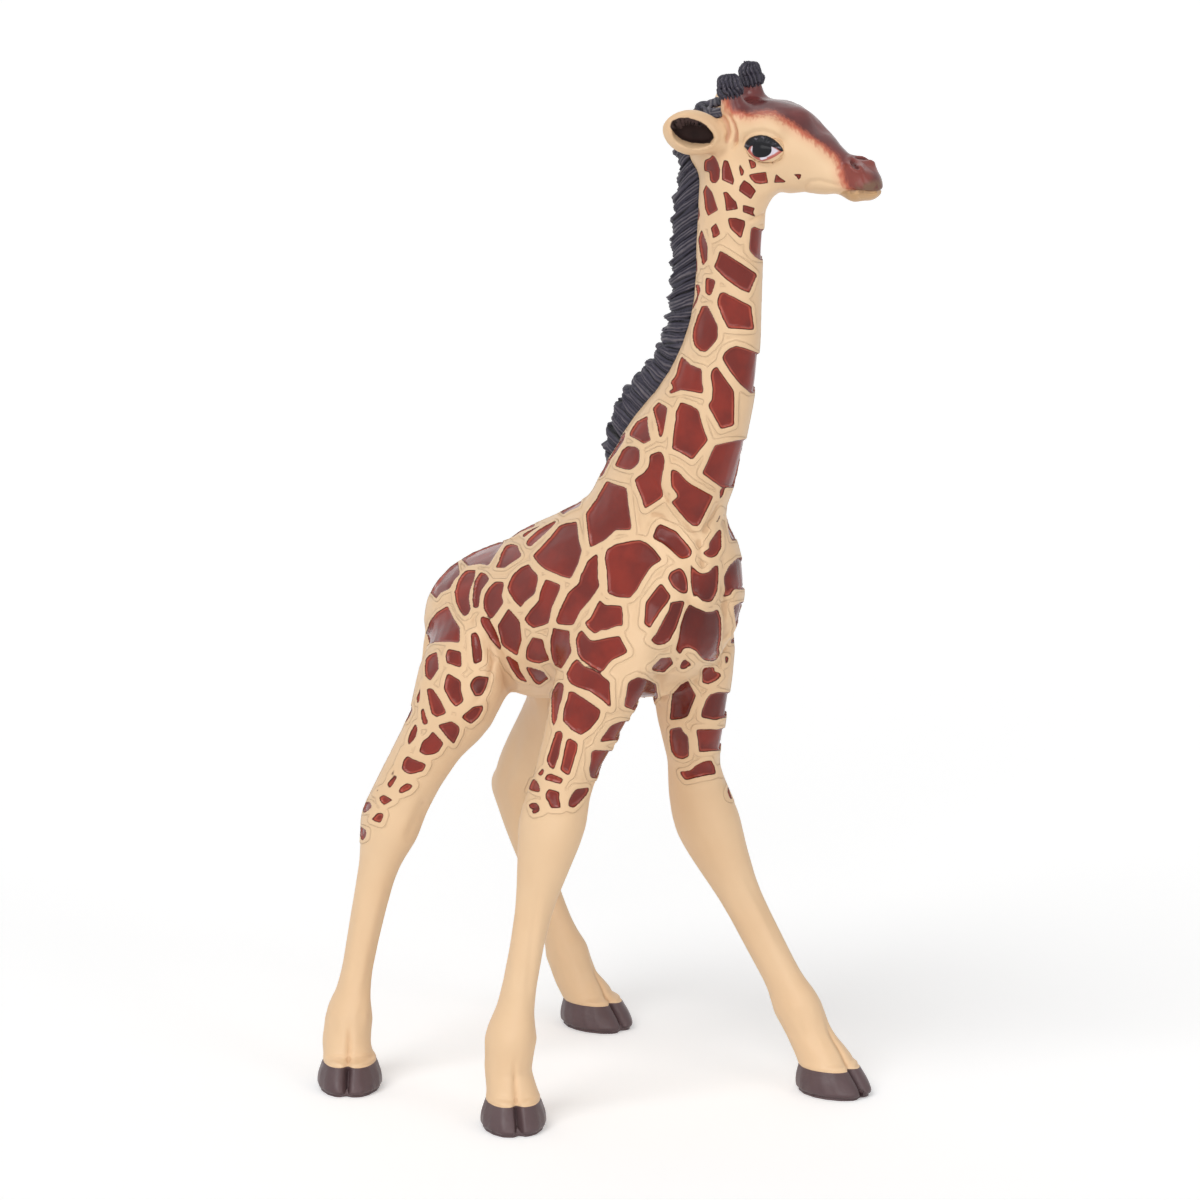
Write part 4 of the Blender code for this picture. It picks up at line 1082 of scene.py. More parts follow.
def eye_relief(pixels, lash, eye):
    """How far lids and lashes stand out from the ball."""
    lid = UPPER_LID * smoothstep(*UPPER_LID_EDGE, lash)
    lid -= LASH_CUT * smoothstep(*LASH_CUT_EDGE, lash) * abs(lash_wave(pixels))
    rim = LOWER_LID_HEIGHT * bell(line_distance(pixels, LOWER_LID)[0] * PIXEL, LOWER_LID_WIDTH)
    sunk = -EYE_SUNK * smoothstep(*EYE_SUNK_EDGE, eye) * smoothstep(*EYE_SUNK_LASHES, lash)
    return lid + rim + sunk


def eye_fields(pixels, lash, eye):
    """The eye's paint regions as distances into them in mm, and the strength of its lashes' streaks."""
    iris = pixels - np.array(IRIS_MIDDLE)
    iris[:, 1] *= np.where(iris[:, 1] > 0, *IRIS_FLATTENING)
    iris = (IRIS_RADIUS - lengths_of(iris)) * PIXEL
    glint = (GLINT_RADIUS - spot_distance(pixels, GLINT_MIDDLE)) * PIXEL
    fields = {"lash": lash / MM, "eye": eye / MM, "iris": iris / MM, "glint": glint / MM}
    top = line_distance(pixels, LASH_OUTLINE[:LASH_TOP_PLACES])[0] * PIXEL
    fields["streak"] = ((1 + lash_wave(pixels)) / 2) ** 2 * bell(top - STREAK_PLACE, STREAK_WIDTH)
    return fields


def add_eye(word, paint):
    """An eye with its ball, heavy upper lid and thin lower lid, in one fine surface."""
    form = bmesh.new()
    turns, rings = EYE_SEGMENTS
    bmesh.ops.create_uvsphere(form, u_segments=turns, v_segments=rings, radius=1)
    mesh = form_mesh("eye_ball_" + word, form)
    places, outward = eye_ball(mesh_places(mesh))
    pixels = photo_pixels(places)
    lash = outline_distance(pixels, LASH_OUTLINE) * PIXEL
    eye = outline_distance(pixels, EYE_OUTLINE) * PIXEL
    places = places + outward * eye_relief(pixels, lash, eye)[:, None]
    if word == "left":
        # Mirroring turns a surface inside out, so its faces are turned back
        places = mirrored(places)
        mesh.flip_normals()
    set_places(mesh, places)
    for name, values in eye_fields(pixels, lash, eye).items():
        set_field(mesh, name, values)
    add_piece("eyeball_" + word, smooth_shaded(mesh), "eye_" + word, paint)


def ear_height(places):
    """How far places stand out beyond the base of the nearer ear."""
    return right_in_head(places) @ np.array(EAR_BASE_NORMAL) - EAR_BASE


def ear_hollow(places, normals):
    """Distance into the hollows of the ears, and how squarely each place faces out of one."""
    hollow = outline_distance(photo_pixels(on_right(places)), EAR_HOLLOW) * PIXEL
    facing = normals @ head_axes()
    facing[:, 1] *= np.where(to_head(places)[:, 1] > 0, -1, 1)
    inner = smoothstep(*EAR_INNER_FACING, facing @ np.array(EAR_OPENING))
    on_ear = (ear_height(places) > EAR_ROOT) & (places[:, 2] > HEAD_PLANE)
    middle = to_head(box_middle("ear_right")[None])[0]
    outer = (right_in_head(places) - middle) @ np.array(EAR_OPENING) > EAR_BACK
    return np.where(((inner > 0) | outer) & on_ear, hollow, FAR_OUT), inner * on_ear


def ear_relief(places, normals):
    """The ears' hollows and the lips round them."""
    hollow, inner = ear_hollow(places, normals)
    moved = -EAR_HOLLOW_DEPTH * smoothstep(*EAR_HOLLOW_EDGE, hollow)
    return moved + EAR_LIP * bell(hollow + EAR_LIP_PLACE, EAR_LIP_WIDTH) * inner


def foot_form(ahead, across, height, steepness):
    """How far a foot's cloven toes, coronet, sole and dewclaws stand out."""
    side = smoothstep(*FOOT_SIDE, steepness)
    front = smoothstep(*FOOT_FRONT, ahead)
    cleft = CLEFT_DEPTH * smoothstep(*CLEFT_SPAN, height)
    cleft += CREASE_DEPTH * smoothstep(*CREASE_SPAN, height)
    foot = -cleft * bell(across, CLEFT_WIDTH) * front
    toes = bell(abs(across) - TOE_PLACE, TOE_WIDTH) * front
    foot += TOE_SWELL * toes * smoothstep(*TOE_SPAN, height)
    for middle, reach, swelling in FOOT_RINGS:
        foot += swelling * bell(height - middle, reach) * side
    foot -= SOLE_ROUNDING * smoothstep(*SOLE_SPAN, height) * side
    claw = lengths_of(np.stack([abs(across) - CLAW_PLACE, height - CLAW_HEIGHT], axis=1))
    claw = bell(claw, CLAW_WIDTH) * smoothstep(*CLAW_FACING, ahead)
    return foot + CLAW_SWELL * claw


def foot_relief(places, normals):
    """The forms of all four feet."""
    moved = np.zeros(len(places))
    height = places[:, 2]
    for leg, degrees in TOE_TURNS.items():
        turn = np.radians(degrees)
        toe = np.array([np.cos(turn), np.sin(turn), 0])
        offset = places - box_middle(leg + "_hoof")
        across = offset @ np.cross((0, 0, 1), toe)
        foot = foot_form(normals @ toe, across, height, abs(normals[:, 2]))
        near = (height < FINE_FEET) & (lengths_of(offset[:, :2]) < FOOT_REACH)
        moved += np.where(near, foot, 0)
    return moved


def lumps(values, seed):
    """Smooth random numbers from -1 to 1 along rows of values."""
    shift = Vector(seed * share for share in RANDOM_SHIFTS)
    return np.array([noise.noise(Vector(row) + shift) for row in values])


def ridges(turns, roundness):
    """Rounded ridges from 0 to 1, one for each half turn in radians."""
    return abs(np.sin(turns)) ** roundness


def hair_strands(across, along, aside):
    """Heights from 0 to 1 of combed hair: its locks, and the strands in them."""
    along_flow, aside_flow = HAIR_FLOW
    flow = np.stack([across / LOCK_WIDTH, along * along_flow, aside * aside_flow], axis=1)
    sway = across + LOCK_WIDTH * LOCK_SWAY * lumps(flow, MANE_SEED)
    lock = np.pi * sway / LOCK_WIDTH + LOCK_WAVE * lumps(flow * LOCK_FLOW, MANE_SEED + 1)
    strand = np.pi * sway / STRAND_WIDTH + STRAND_WAVE * lumps(flow * STRAND_FLOW, MANE_SEED + 2)
    return ridges(lock, LOCK_ROUNDNESS), ridges(strand, STRAND_ROUNDNESS)


def mane_line(places):
    """The mane's middle line, withers to poll, and how far along it each vertex and station is."""
    offset = (places - np.array(MANE_PIVOT))[:, [0, 2]]
    turns = np.arctan2(offset[:, 1], -offset[:, 0])
    marks = np.linspace(turns.min(), turns.max(), MANE_STATIONS + 1)
    line = []
    for low, high in zip(marks, marks[1:]):
        part = places[(turns >= low) & (turns <= high)]
        line.append((part.max(axis=0) + part.min(axis=0)) / 2)
    line = np.array(line)
    for _ in range(MANE_EVENING):
        line[1:-1] = (line[2:] + 2 * line[1:-1] + line[:-2]) / 4
    lengths = np.concatenate([[0], np.cumsum(lengths_of(np.diff(line, axis=0)))])
    _, share = line_distance(places[:, [0, 2]], line[:, [0, 2]])
    return line, lengths, np.interp(share * (len(line) - 1), np.arange(len(line)), lengths)


def mane_axes(places):
    """Each vertex's length and share along the mane, its places out and aside, and the way along."""
    line, lengths, along = mane_line(places)

    def there(table):
        return np.stack([np.interp(along, lengths, column) for column in table.T], axis=1)

    tangent = there(np.gradient(line, axis=0))
    tangent[:, 1] = 0
    tangent /= lengths_of(tangent)[:, None]
    outward = np.stack([-tangent[:, 2], np.zeros(len(places)), tangent[:, 0]], axis=1)
    offset = places - there(line)
    return along, along / lengths[-1], (offset * outward).sum(axis=1), offset[:, 1], tangent


def add_mane(paint):
    """The mane: locks of combed hair with tips that stand out along its crest."""
    mesh = skinned(["mane"], MANE_SWELL, HAIR_GRAIN, MANE_SMOOTH_ROUNDS)
    places, normals = mesh_places(mesh), mesh_normals(mesh)
    along, share, out, aside, tangent = mane_axes(places)
    comb = (along + np.interp(share, MANE_TILT_PLACES, MANE_TILTS) * out) / MM
    lock, strand = hair_strands(comb, out / MM, aside / MM)
    crest = smoothstep(*MANE_CREST, out)
    tips = lumps(np.stack([comb / TIP_WAVE_LENGTH] * 3, axis=1), TIP_SEED)
    saw = (comb / TIP_SPACING + TIP_WAVE * tips) % 1
    moved = LOCK_HEIGHT * (lock - LOCK_LEVEL) + STRAND_HEIGHT * (strand - STRAND_LEVEL)
    moved += TIP_HEIGHT * crest * (saw - TIP_LEVEL)
    moved *= MANE_ROOT_DEPTH + (1 - MANE_ROOT_DEPTH) * smoothstep(*MANE_ROOT, share)
    drift = -tangent * (TIP_DROOP * crest * saw)[:, None]
    set_places(mesh, places + normals * moved[:, None] + drift)
    set_field(mesh, "ridge", np.array(MANE_RIDGES) @ (strand, lock))
    add_piece("mane_hair", smooth_shaded(mesh), "mane", paint)


def tuft_axes(places, node, direction):
    """Places round a tuft's axis: offset from its middle, height, angle, and offset from the axis."""
    axis = np.array(direction) / np.linalg.norm(direction)
    offset = places - box_middle(node)
    side = np.cross(axis, TUFT_SIDE)
    side /= np.linalg.norm(side)
    angle = np.arctan2(offset @ np.cross(axis, side), offset @ side)
    up = offset @ axis
    return offset, up, angle, offset - up[:, None] * axis


def add_tuft(node, direction, seed, turns, swell, paint):
    """A bunch of curled hair round an axis, over the node it replaces."""
    mesh = skinned([node], swell, HAIR_GRAIN, TUFT_SMOOTH_ROUNDS)
    places, normals = mesh_places(mesh), mesh_normals(mesh)
    offset, up, angle, aside = tuft_axes(places, node, direction)
    places = places - aside * (TUFT_TAPER * smoothstep(*TUFT_TAPER_SPAN, up))[:, None]
    bulk = lumps(offset / TUFT_LUMP_SIZE, seed)
    swirl = lumps(offset / TUFT_SWIRL_SIZE, seed + TUFT_SWIRL_SEED)
    comb = angle * turns + TUFT_TWIST * up / MM + TUFT_BEND * bulk + TUFT_SWIRL * swirl
    strand = ridges(comb, STRAND_ROUNDNESS)
    fine = ridges(comb * TUFT_FINENESS + TUFT_FINE_BEND * bulk, TUFT_FINE_ROUNDNESS)
    moved = TUFT_LUMP * bulk + TUFT_STRAND * (strand - STRAND_LEVEL)
    moved += TUFT_FINE * (fine - STRAND_LEVEL)
    moved *= smoothstep(*TUFT_TOP, lengths_of(aside))
    set_places(mesh, places + normals * moved[:, None])
    set_field(mesh, "ridge", np.array(TUFT_RIDGES) @ (strand, fine))
    add_piece(node + "_hair", smooth_shaded(mesh), node, paint)


def add_tail(paint):
    """The tail's bare skin, which carries none of the coat's marks."""
    mesh = skinned(["tail"], TAIL_SWELL, TAIL_GRAIN, TAIL_SMOOTH_ROUNDS)
    for name in COAT_FIELDS:
        set_field(mesh, name, np.full(len(mesh.vertices), -FIELD_REACH))
    for name in COAT_SHADES:
        set_field(mesh, name, np.zeros(len(mesh.vertices)))
    add_piece("tail_skin", smooth_shaded(mesh), "tail", paint)


def net_spacing(places):
    """How far apart the hidden side's patches lie: wide on the trunk, close on neck and legs."""
    height = places[:, 2] / MM
    neck = np.interp(height, NET_NECK_HEIGHTS, NET_NECK)
    leg = np.interp(height, NET_LEG_HEIGHTS, NET_LEG)
    upper = np.where(height > NET_NECK_START, neck, NET_TRUNK)
    return np.where(height < NET_LEG_HEIGHTS[1], leg, upper)


def net_allowed(places, normals):
    """Where the hidden side has patches: not on the belly, the inner legs, the shanks or the face."""
    height = places[:, 2]
    outward = normals[:, 1] * np.where(places[:, 1] > MIDDLE_Y, 1, -1)
    low_end = np.where(places[:, 0] > LEG_DIVIDE, FORELEG_NET_END, HINDLEG_NET_END)
    leg_allowed = (height > low_end) & (outward > INNER_LEG_FACING)
    trunk_allowed = (normals[:, 2] > BELLY_FACING) | (height > NECK_FRONT_HEIGHT)
    trunk_allowed &= (height > LEG_PLANE + GIRTH_HEIGHT) | (outward > GIRTH_FACING)
    return np.where(height < LEG_PLANE, leg_allowed, trunk_allowed) & (height < HEAD_PLANE)


def batches(places):
    """Places in parts small enough to measure against every seed at once."""
    return np.array_split(places, len(places) // NET_BATCH + 1)


def squares_to(part, seeds):
    """The squared distance from each place to each seed."""
    return ((part[:, None] - seeds) ** 2).sum(axis=2)


def net_seeds(places, spacing):
    """Places of the patches' middles, spread over the allowed places."""
    order = np.random.default_rng(NET_SEED).permutation(len(places))
    left = np.ones(len(places), bool)
    chosen = []
    for index in order:
        if left[index]:
            chosen.append(index)
            squares = ((places - places[index]) ** 2).sum(axis=1)
            left &= squares > (NET_CLOSENESS * spacing[index]) ** 2
    seeds = places[chosen]
    for _ in range(NET_EVENING):
        nearest = np.concatenate([squares_to(part, seeds).argmin(axis=1) for part in batches(places)])
        counts = np.bincount(nearest, minlength=len(seeds))[:, None]
        sums = [np.bincount(nearest, column, len(seeds)) for column in places.T]
        seeds = np.stack(sums, axis=1) / np.maximum(counts, 1)
    return seeds


def net_distance(places, seeds):
    """Distance into the cell round the nearest seed, with rounded corners, and that seed."""
    gap = np.sqrt(squares_to(seeds, seeds)) + NET_TINY
    fields, owners = [], []
    for part in batches(places):
        squares = squares_to(part, seeds)
        owner = squares.argmin(axis=1)
        rows = np.arange(len(part))
        aside = (squares - squares[rows, owner][:, None]) / (2 * gap[owner])
        aside[rows, owner] = 1
        fields.append(-NET_ROUNDING * np.log(np.exp(-aside / NET_ROUNDING).sum(axis=1)))
        owners.append(owner)
    return np.concatenate(fields), np.concatenate(owners)


def net_field(places, normals, edges, seen, away, direct):
    """Distance into the hidden side's patches."""
    field = np.full(len(places), -PATCH_REACH)
    free = ~seen & net_allowed(places, normals)
    spots = np.flatnonzero(free & (-direct > NET_CLEAR))
    seeds = net_seeds(places[spots], net_spacing(places[spots]))
    hidden = np.flatnonzero(~seen)
    cell, owner = net_distance(places[hidden], seeds)
    cell = np.minimum(cell - NET_LINE / 2, -direct[hidden] - NET_CLEAR)
    cell = np.minimum(cell, away[hidden] - NET_LINE / 2)
    inside = softened(free.astype(float), edges, NET_RIM_ROUNDS)[hidden] * 2 - 1
    cell = np.minimum(cell, inside * NET_RIM)
    greatest = np.full(len(seeds), -1.0)
    np.maximum.at(greatest, owner, cell)
    field[hidden] = np.where(greatest[owner] > NET_LEAST, cell, -PATCH_REACH)
    return field


def patch_field(places, normals, edges, facing, seen):
    """Distance into the coat's patches all over the skin: positive in a patch."""
    scale = PIXEL / np.clip(facing, LEAST_FACING, 1)
    direct = outlines_distance(photo_pixels(places), BODY_OUTLINES) * scale
    source, away = nearest_seen(places, seen)
    direct = direct[source] - away
    other = outlines_distance(photo_pixels(on_right(places)), HEAD_PATCHES) * PIXEL
    other -= np.clip(HEAD_PLANE - places[:, 2], 0, None)
    far_side = (places[:, 2] > HEAD_PATCH_LOW) & (to_head(places)[:, 1] > 0)
    direct = np.where(far_side, np.maximum(other, direct - MIRROR_GAP), direct)
    net = net_field(places, normals, edges, seen | far_side, away, direct)
    return np.maximum(direct, net)


def patch_relief(places, field):
    """How far the skin stands out: patches are sunk, and below the head each has a low raised collar."""
    height = COLLAR_HEIGHT * smoothstep(HEAD_PLANE, HEAD_PLANE - COLLAR_FADE, places[:, 2])
    collar = smoothstep(-COLLAR_WIDTH - COLLAR_SLOPE, -COLLAR_WIDTH, field)
    return height * collar - (height + PATCH_DEPTH) * smoothstep(*PATCH_BEVEL, field)


def refine(mesh):
    """Halves the grain of the head and the feet."""
    with edited(mesh) as form:
        edges = []
        for edge in form.edges:
            first, second = (vertex.co.z for vertex in edge.verts)
            if min(first, second) > HEAD_PATCH_LOW or max(first, second) < FINE_FEET:
                edges.append(edge)
        bmesh.ops.subdivide_edges(form, edges=edges, cuts=1, use_grid_fill=True)
    smooth_mesh(mesh, FINE_SMOOTH_ROUNDS)


def eased(places, edges):
    """Rounds the kinks of the shanks and the creases above the hooves."""
    height = places[:, 2]
    shank = smoothstep(*SHANK_START, height) * smoothstep(LEG_PLANE, LEG_PLANE - SHANK_FADE, height)
    places = places + (softened(places, edges, EASE_ROUNDS) - places) * shank[:, None]
    foot = np.flatnonzero(height < FINE_FEET)
    order = np.full(len(places), -1)
    order[foot] = np.arange(len(foot))
    inner = order[edges[:, (order[edges] >= 0).all(axis=0)]]
    soft = softened(places[foot], inner, CREASE_ROUNDS)
    share = bell(height[foot] - CREASE_HEIGHT, CREASE_REACH)[:, None]
    places[foot] += (soft - places[foot]) * share
    return places


def plain_coat():
    """The whole coat in one skin, before its carving and paint."""
    mesh = skinned(COAT_NODES, GAP_FILL, COAT_GRAIN, COAT_SMOOTH_ROUNDS)
    refine(mesh)
    places = eased(mesh_places(mesh), mesh_edges(mesh))
    set_places(mesh, places)
    set_places(mesh, places - mesh_normals(mesh) * GAP_FILL)
    return mesh


def coat_skin():
    """The whole coat with its patches sunk and its paint given as vertex values."""
    mesh = plain_coat()
    edges, places, normals = mesh_edges(mesh), mesh_places(mesh), mesh_normals(mesh)
    facing, seen = facing_camera(mesh, places, normals)
    field = softened(patch_field(places, normals, edges, facing, seen), edges, PATCH_SOFT_ROUNDS)
    moved = head_relief(places) + ear_relief(places, normals) + body_relief(places, facing, seen)
    moved = patch_relief(places, field) + softened(moved, edges, 1) + foot_relief(places, normals)
    fields = head_fields(places)
    fields["ear"] = ear_hollow(places, normals)[0]
    reach = np.where(places[:, 2] > HEAD_PATCH_LOW, HEAD_PATCH_REACH, PATCH_REACH)
    fields["patch"] = np.clip(field, -reach, PATCH_REACH)
    set_field(mesh, "patch_painted_shade", painted_patch_shade(places))
    places = places + normals * moved[:, None]
    places[:, 2] = np.maximum(places[:, 2], 0)
    # How hollow each place is, which sets the painted shade in creases and recesses
    inward = ((softened(places, edges, HOLLOW_ROUNDS) - places) * normals).sum(axis=1)
    fields["hollow"] = softened(inward, edges, HOLLOW_SOFT_ROUNDS)
    set_places(mesh, places)
    for name, values in fields.items():
        set_field(mesh, name, np.clip(values / MM, -FIELD_REACH, FIELD_REACH))
    return mesh


def halved(mesh, name, place, normal):
    """Cuts a closed mesh at a plane. Returns the closed piece behind the plane and the one before."""
    pieces = []
    for word in ("_back", "_front"):
        form = bmesh.new()
        form.from_mesh(mesh)
        cut = bmesh.ops.bisect_plane(
            form,
            geom=form.verts[:] + form.edges[:] + form.faces[:],
            plane_co=place,
            plane_no=normal,
            clear_outer=word == "_back",
            clear_inner=word == "_front",
        )["geom_cut"]
        rims = [item for item in cut if isinstance(item, bmesh.types.BMEdge)]
        bmesh.ops.holes_fill(form, edges=rims)
        pieces.append(form_mesh(name + word, form))
    bpy.data.meshes.remove(mesh)
    return pieces


def parted(mesh):
    """The skin cut where the mouldings meet: node name and mesh of each piece."""
    normals = mesh.attributes.new("skin_normal", "FLOAT_VECTOR", "POINT")
    normals.data.foreach_set("vector", mesh_normals(mesh).astype(np.float32).ravel())
    below, head = halved(mesh, "skull", (0, 0, HEAD_PLANE), (0, 0, 1))
    below, neck = halved(below, "column", NECK_PLACE, NECK_NORMAL)
    legs, torso = halved(below, "trunk", (0, 0, LEG_PLANE), (0, 0, 1))
    hind, fore = halved(legs, "limbs", (LEG_DIVIDE, 0, 0), (1, 0, 0))
    pieces = {"neck": neck, "torso": torso}
    for side, word in ((1, "right"), (-1, "left")):
        way = np.array(EAR_BASE_NORMAL) * (1, side, 1)
        place = from_head((way * EAR_BASE)[None])[0]
        head, pieces["ear_" + word] = halved(head, "skull_" + word, place, head_axes() @ way)
    pieces["head"] = head
    for end, pair in (("hind", hind), ("front", fore)):
        sides = halved(pair, end, (0, MIDDLE_Y, 0), (0, 1, 0))
        for word, leg in zip(("right", "left"), sides):
            hoof, shank = halved(leg, end + word, (0, 0, HOOF_LINE), (0, 0, 1))
            pieces[f"{end}_{word}_hoof"] = hoof
            pieces[f"{end}_{word}_leg"] = shank
    return pieces


def add_coat(paint, hoof_paint):
    """The coat's pieces, shaded with the normals of the whole skin so that no seam shows."""
    for name, mesh in parted(coat_skin()).items():
        normals = read_rows(mesh.attributes["skin_normal"].data, "vector")
        mesh.attributes.remove(mesh.attributes["skin_normal"])
        smooth_shaded(mesh).normals_split_custom_set_from_vertices(normals.tolist())
        if name.endswith("hoof"):
            add_piece(name + "_shoe", mesh, name, hoof_paint)
        else:
            add_piece(name + "_coat", mesh, name, paint)


def add_piece(name, mesh, node, paint):
    """Shows a mesh in place of a frame node."""
    made = add_object(name, mesh)
    mesh.materials.clear()
    mesh.materials.append(paint)
    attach(made, "root")
    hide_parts(node)


class Nodes:
    """The node tree of a material or world under construction: short names for its nodes and links."""

    def __init__(self, owner):
        owner.use_nodes = True
        self.owner = owner
        self.nodes = owner.node_tree.nodes
        self.links = owner.node_tree.links

    def feed(self, socket, value):
        if isinstance(value, bpy.types.NodeSocket):
            self.links.new(value, socket)
        elif isinstance(value, tuple) and len(value) == 3 and socket.type == "RGBA":
            socket.default_value = (*value, 1)
        else:
            socket.default_value = value

    def math(self, operation, first, second):
        node = self.nodes.new("ShaderNodeMath")
        node.operation = operation
        self.feed(node.inputs[0], first)
        self.feed(node.inputs[1], second)
        return node.outputs[0]

    def times(self, first, second):
        return self.math("MULTIPLY", first, second)

    def plus(self, first, second):
        return self.math("ADD", first, second)

    def minus(self, first, second):
        return self.math("SUBTRACT", first, second)

    def greater(self, first, second):
        return self.math("MAXIMUM", first, second)

    def step(self, value, low, high, start=0.0, end=1.0):
        """Turns a value from low to high into one from start to end, smoothly."""
        node = self.nodes.new("ShaderNodeMapRange")
        node.interpolation_type = "SMOOTHSTEP"
        self.feed(node.inputs["Value"], value)
        limits = {"From Min": low, "From Max": high, "To Min": start, "To Max": end}
        for key, number in limits.items():
            node.inputs[key].default_value = number
        return node.outputs["Result"]

    def band(self, value, low, full, full_end, end):
        """1 where a value is between two limits, fading out beyond them."""
        return self.times(self.step(value, low, full), self.step(value, end, full_end))

    def shown(self):
        """1 for what the camera sees straight, in a gloss or through glass, and 0 for light."""
        path = self.nodes.new("ShaderNodeLightPath").outputs
        shown = self.greater(path["Is Camera Ray"], path["Is Glossy Ray"])
        return self.greater(shown, path["Is Transmission Ray"])


class Look(Nodes):
    """A material under construction."""

    def __init__(self, name):
        super().__init__(bpy.data.materials.new(name))
        self.shader = self.nodes["Principled BSDF"]
        self.place = self.nodes.new("ShaderNodeTexCoord").outputs["Object"]

    def field(self, name):
        """The number that each vertex keeps under a name."""
        node = self.nodes.new("ShaderNodeAttribute")
        node.attribute_name = name
        return node.outputs["Fac"]

    def noise(self, size, detail, stretch=None):
        """Noise from 0 to 1 whose lumps have about the given size."""
        node = self.nodes.new("ShaderNodeTexNoise")
        node.inputs["Scale"].default_value = 1 / size
        node.inputs["Detail"].default_value = detail
        place = self.place
        if stretch is not None:
            mapping = self.nodes.new("ShaderNodeMapping")
            mapping.inputs["Scale"].default_value = stretch
            self.links.new(place, mapping.inputs["Vector"])
            place = mapping.outputs["Vector"]
        self.links.new(place, node.inputs["Vector"])
        return node.outputs["Fac"]

    def mottle(self, size, detail, *limits):
        """Noise with its contrast raised."""
        return self.step(self.noise(size, detail), *limits)

    def mix(self, share, first, second):
        """A colour between two."""
        node = self.nodes.new("ShaderNodeMix")
        node.data_type = "RGBA"
        self.feed(node.inputs["Factor"], share)
        self.feed(node.inputs["A"], first)
        self.feed(node.inputs["B"], second)
        return node.outputs["Result"]

    def layer(self, colour, name, edge, paint):
        """A colour with paint over it in one region of the skin."""
        return self.mix(self.step(self.field(name), *edge), colour, paint)

    def thin_layer(self, colour, value, edge, share, paint):
        """A colour with thin paint over it, which covers only a share."""
        return self.mix(self.times(self.step(value, *edge), share), colour, paint)

    def bump(self, height, distance):
        node = self.nodes.new("ShaderNodeBump")
        node.inputs["Distance"].default_value = distance
        self.feed(node.inputs["Height"], height)
        return node.outputs["Normal"]

    def set(self, **values):
        """Feeds the shader's sockets and returns the finished material."""
        names = {
            "colour": "Base Color",
            "rough": "Roughness",
            "normal": "Normal",
            "gloss": "Specular IOR Level",
            "glow": "Emission Color",
            "glow_strength": "Emission Strength",
        }
        for key, value in values.items():
            self.feed(self.shader.inputs[names[key]], value)
        return self.owner


def patch_paint(look, patch, cream):
    """Cream with red-brown patches: a dark outline, a red rim inside it, and painted shade along a fine
    engraved line round it.
    """
    red = look.mix(look.mottle(*RED_MOTTLE), PATCH_DARK, PATCH_RED)
    # Painted shade: darker red on the patches between the forelegs and on the thighs
    red = look.mix(look.field("patch_painted_shade"), red, PATCH_PAINTED_SHADE)
    rim = look.times(look.band(patch, *RIM_BAND), look.mottle(*RIM_MOTTLE, *RIM_MOTTLE_RANGE))
    red = look.mix(rim, red, PATCH_RIM)
    engraved = look.band(patch, *ENGRAVED_BAND)
    # Painted shade: the cream darker along the engraved line
    cream = look.mix(look.times(engraved, ENGRAVED_PAINTED_SHADE), cream, CREAM_PAINTED_SHADE)
    colour = look.mix(look.step(patch, *PATCH_EDGE), cream, red)
    line = look.times(look.band(patch, *LINE_BAND), LINE_SHADE)
    return look.mix(line, colour, PATCH_LINE), engraved


def cap_paint(look, colour):
    """The head's brown cap, brushed on in red strokes with a pink haze beyond them."""
    cap = look.field("cap")
    strokes = look.minus(look.noise(*CAP_STROKES), 0.5)
    brushed = look.plus(cap, look.times(strokes, CAP_BRUSHING))
    solid = look.plus(cap, look.times(strokes, CAP_SOLID_BRUSHING))
    colour = look.thin_layer(colour, cap, HAZE_EDGE, HAZE_SHARE, BLUSH)
    colour = look.thin_layer(colour, brushed, CAP_BRUSHED_EDGE, CAP_BRUSHED_SHARE, CAP_RED)
    brown = look.mix(look.mottle(*CAP_MOTTLE), CAP_DARK, CAP_BROWN)
    brown = look.thin_layer(brown, look.field("muzzle"), MUZZLE_EDGE, MUZZLE_SHARE, MUZZLE_RED)
    return look.mix(look.step(solid, *CAP_SOLID_EDGE), colour, brown)


def mouth_paint(look, colour):
    """An olive lip, a golden chin stained brown towards the mouth, and dark red nostrils."""
    lip = look.times(look.step(look.field("lip"), *LIP_EDGE), look.mottle(*LIP_MOTTLE))
    colour = look.mix(lip, colour, LIP_OLIVE)
    near = look.step(look.field("muzzle"), *STAIN_EDGE)
    stain = look.times(near, look.step(look.field("chin"), *STAIN_DEPTH))
    stain = look.times(stain, look.mottle(*STAIN_MOTTLE))
    colour = look.layer(colour, "chin", CHIN_EDGE, look.mix(stain, CHIN_GOLD, CHIN_BROWN))
    return look.layer(colour, "nostril", NOSTRIL_PAINT_EDGE, NOSTRIL_RED)


def ear_paint(look, ear, colour):
    """Dark hollows of the ears, with painted shade round them."""
    # Painted shade: cream darker round the ears' hollows
    colour = look.thin_layer(colour, ear, EAR_PAINTED_SHADE_EDGE, EAR_PAINTED_SHADE_SHARE, CREAM_PAINTED_SHADE)
    dark = look.mix(look.noise(*EAR_CLOUDS), EAR_DARK, EAR_BROWN)
    return look.mix(look.step(ear, *EAR_EDGE), colour, dark)


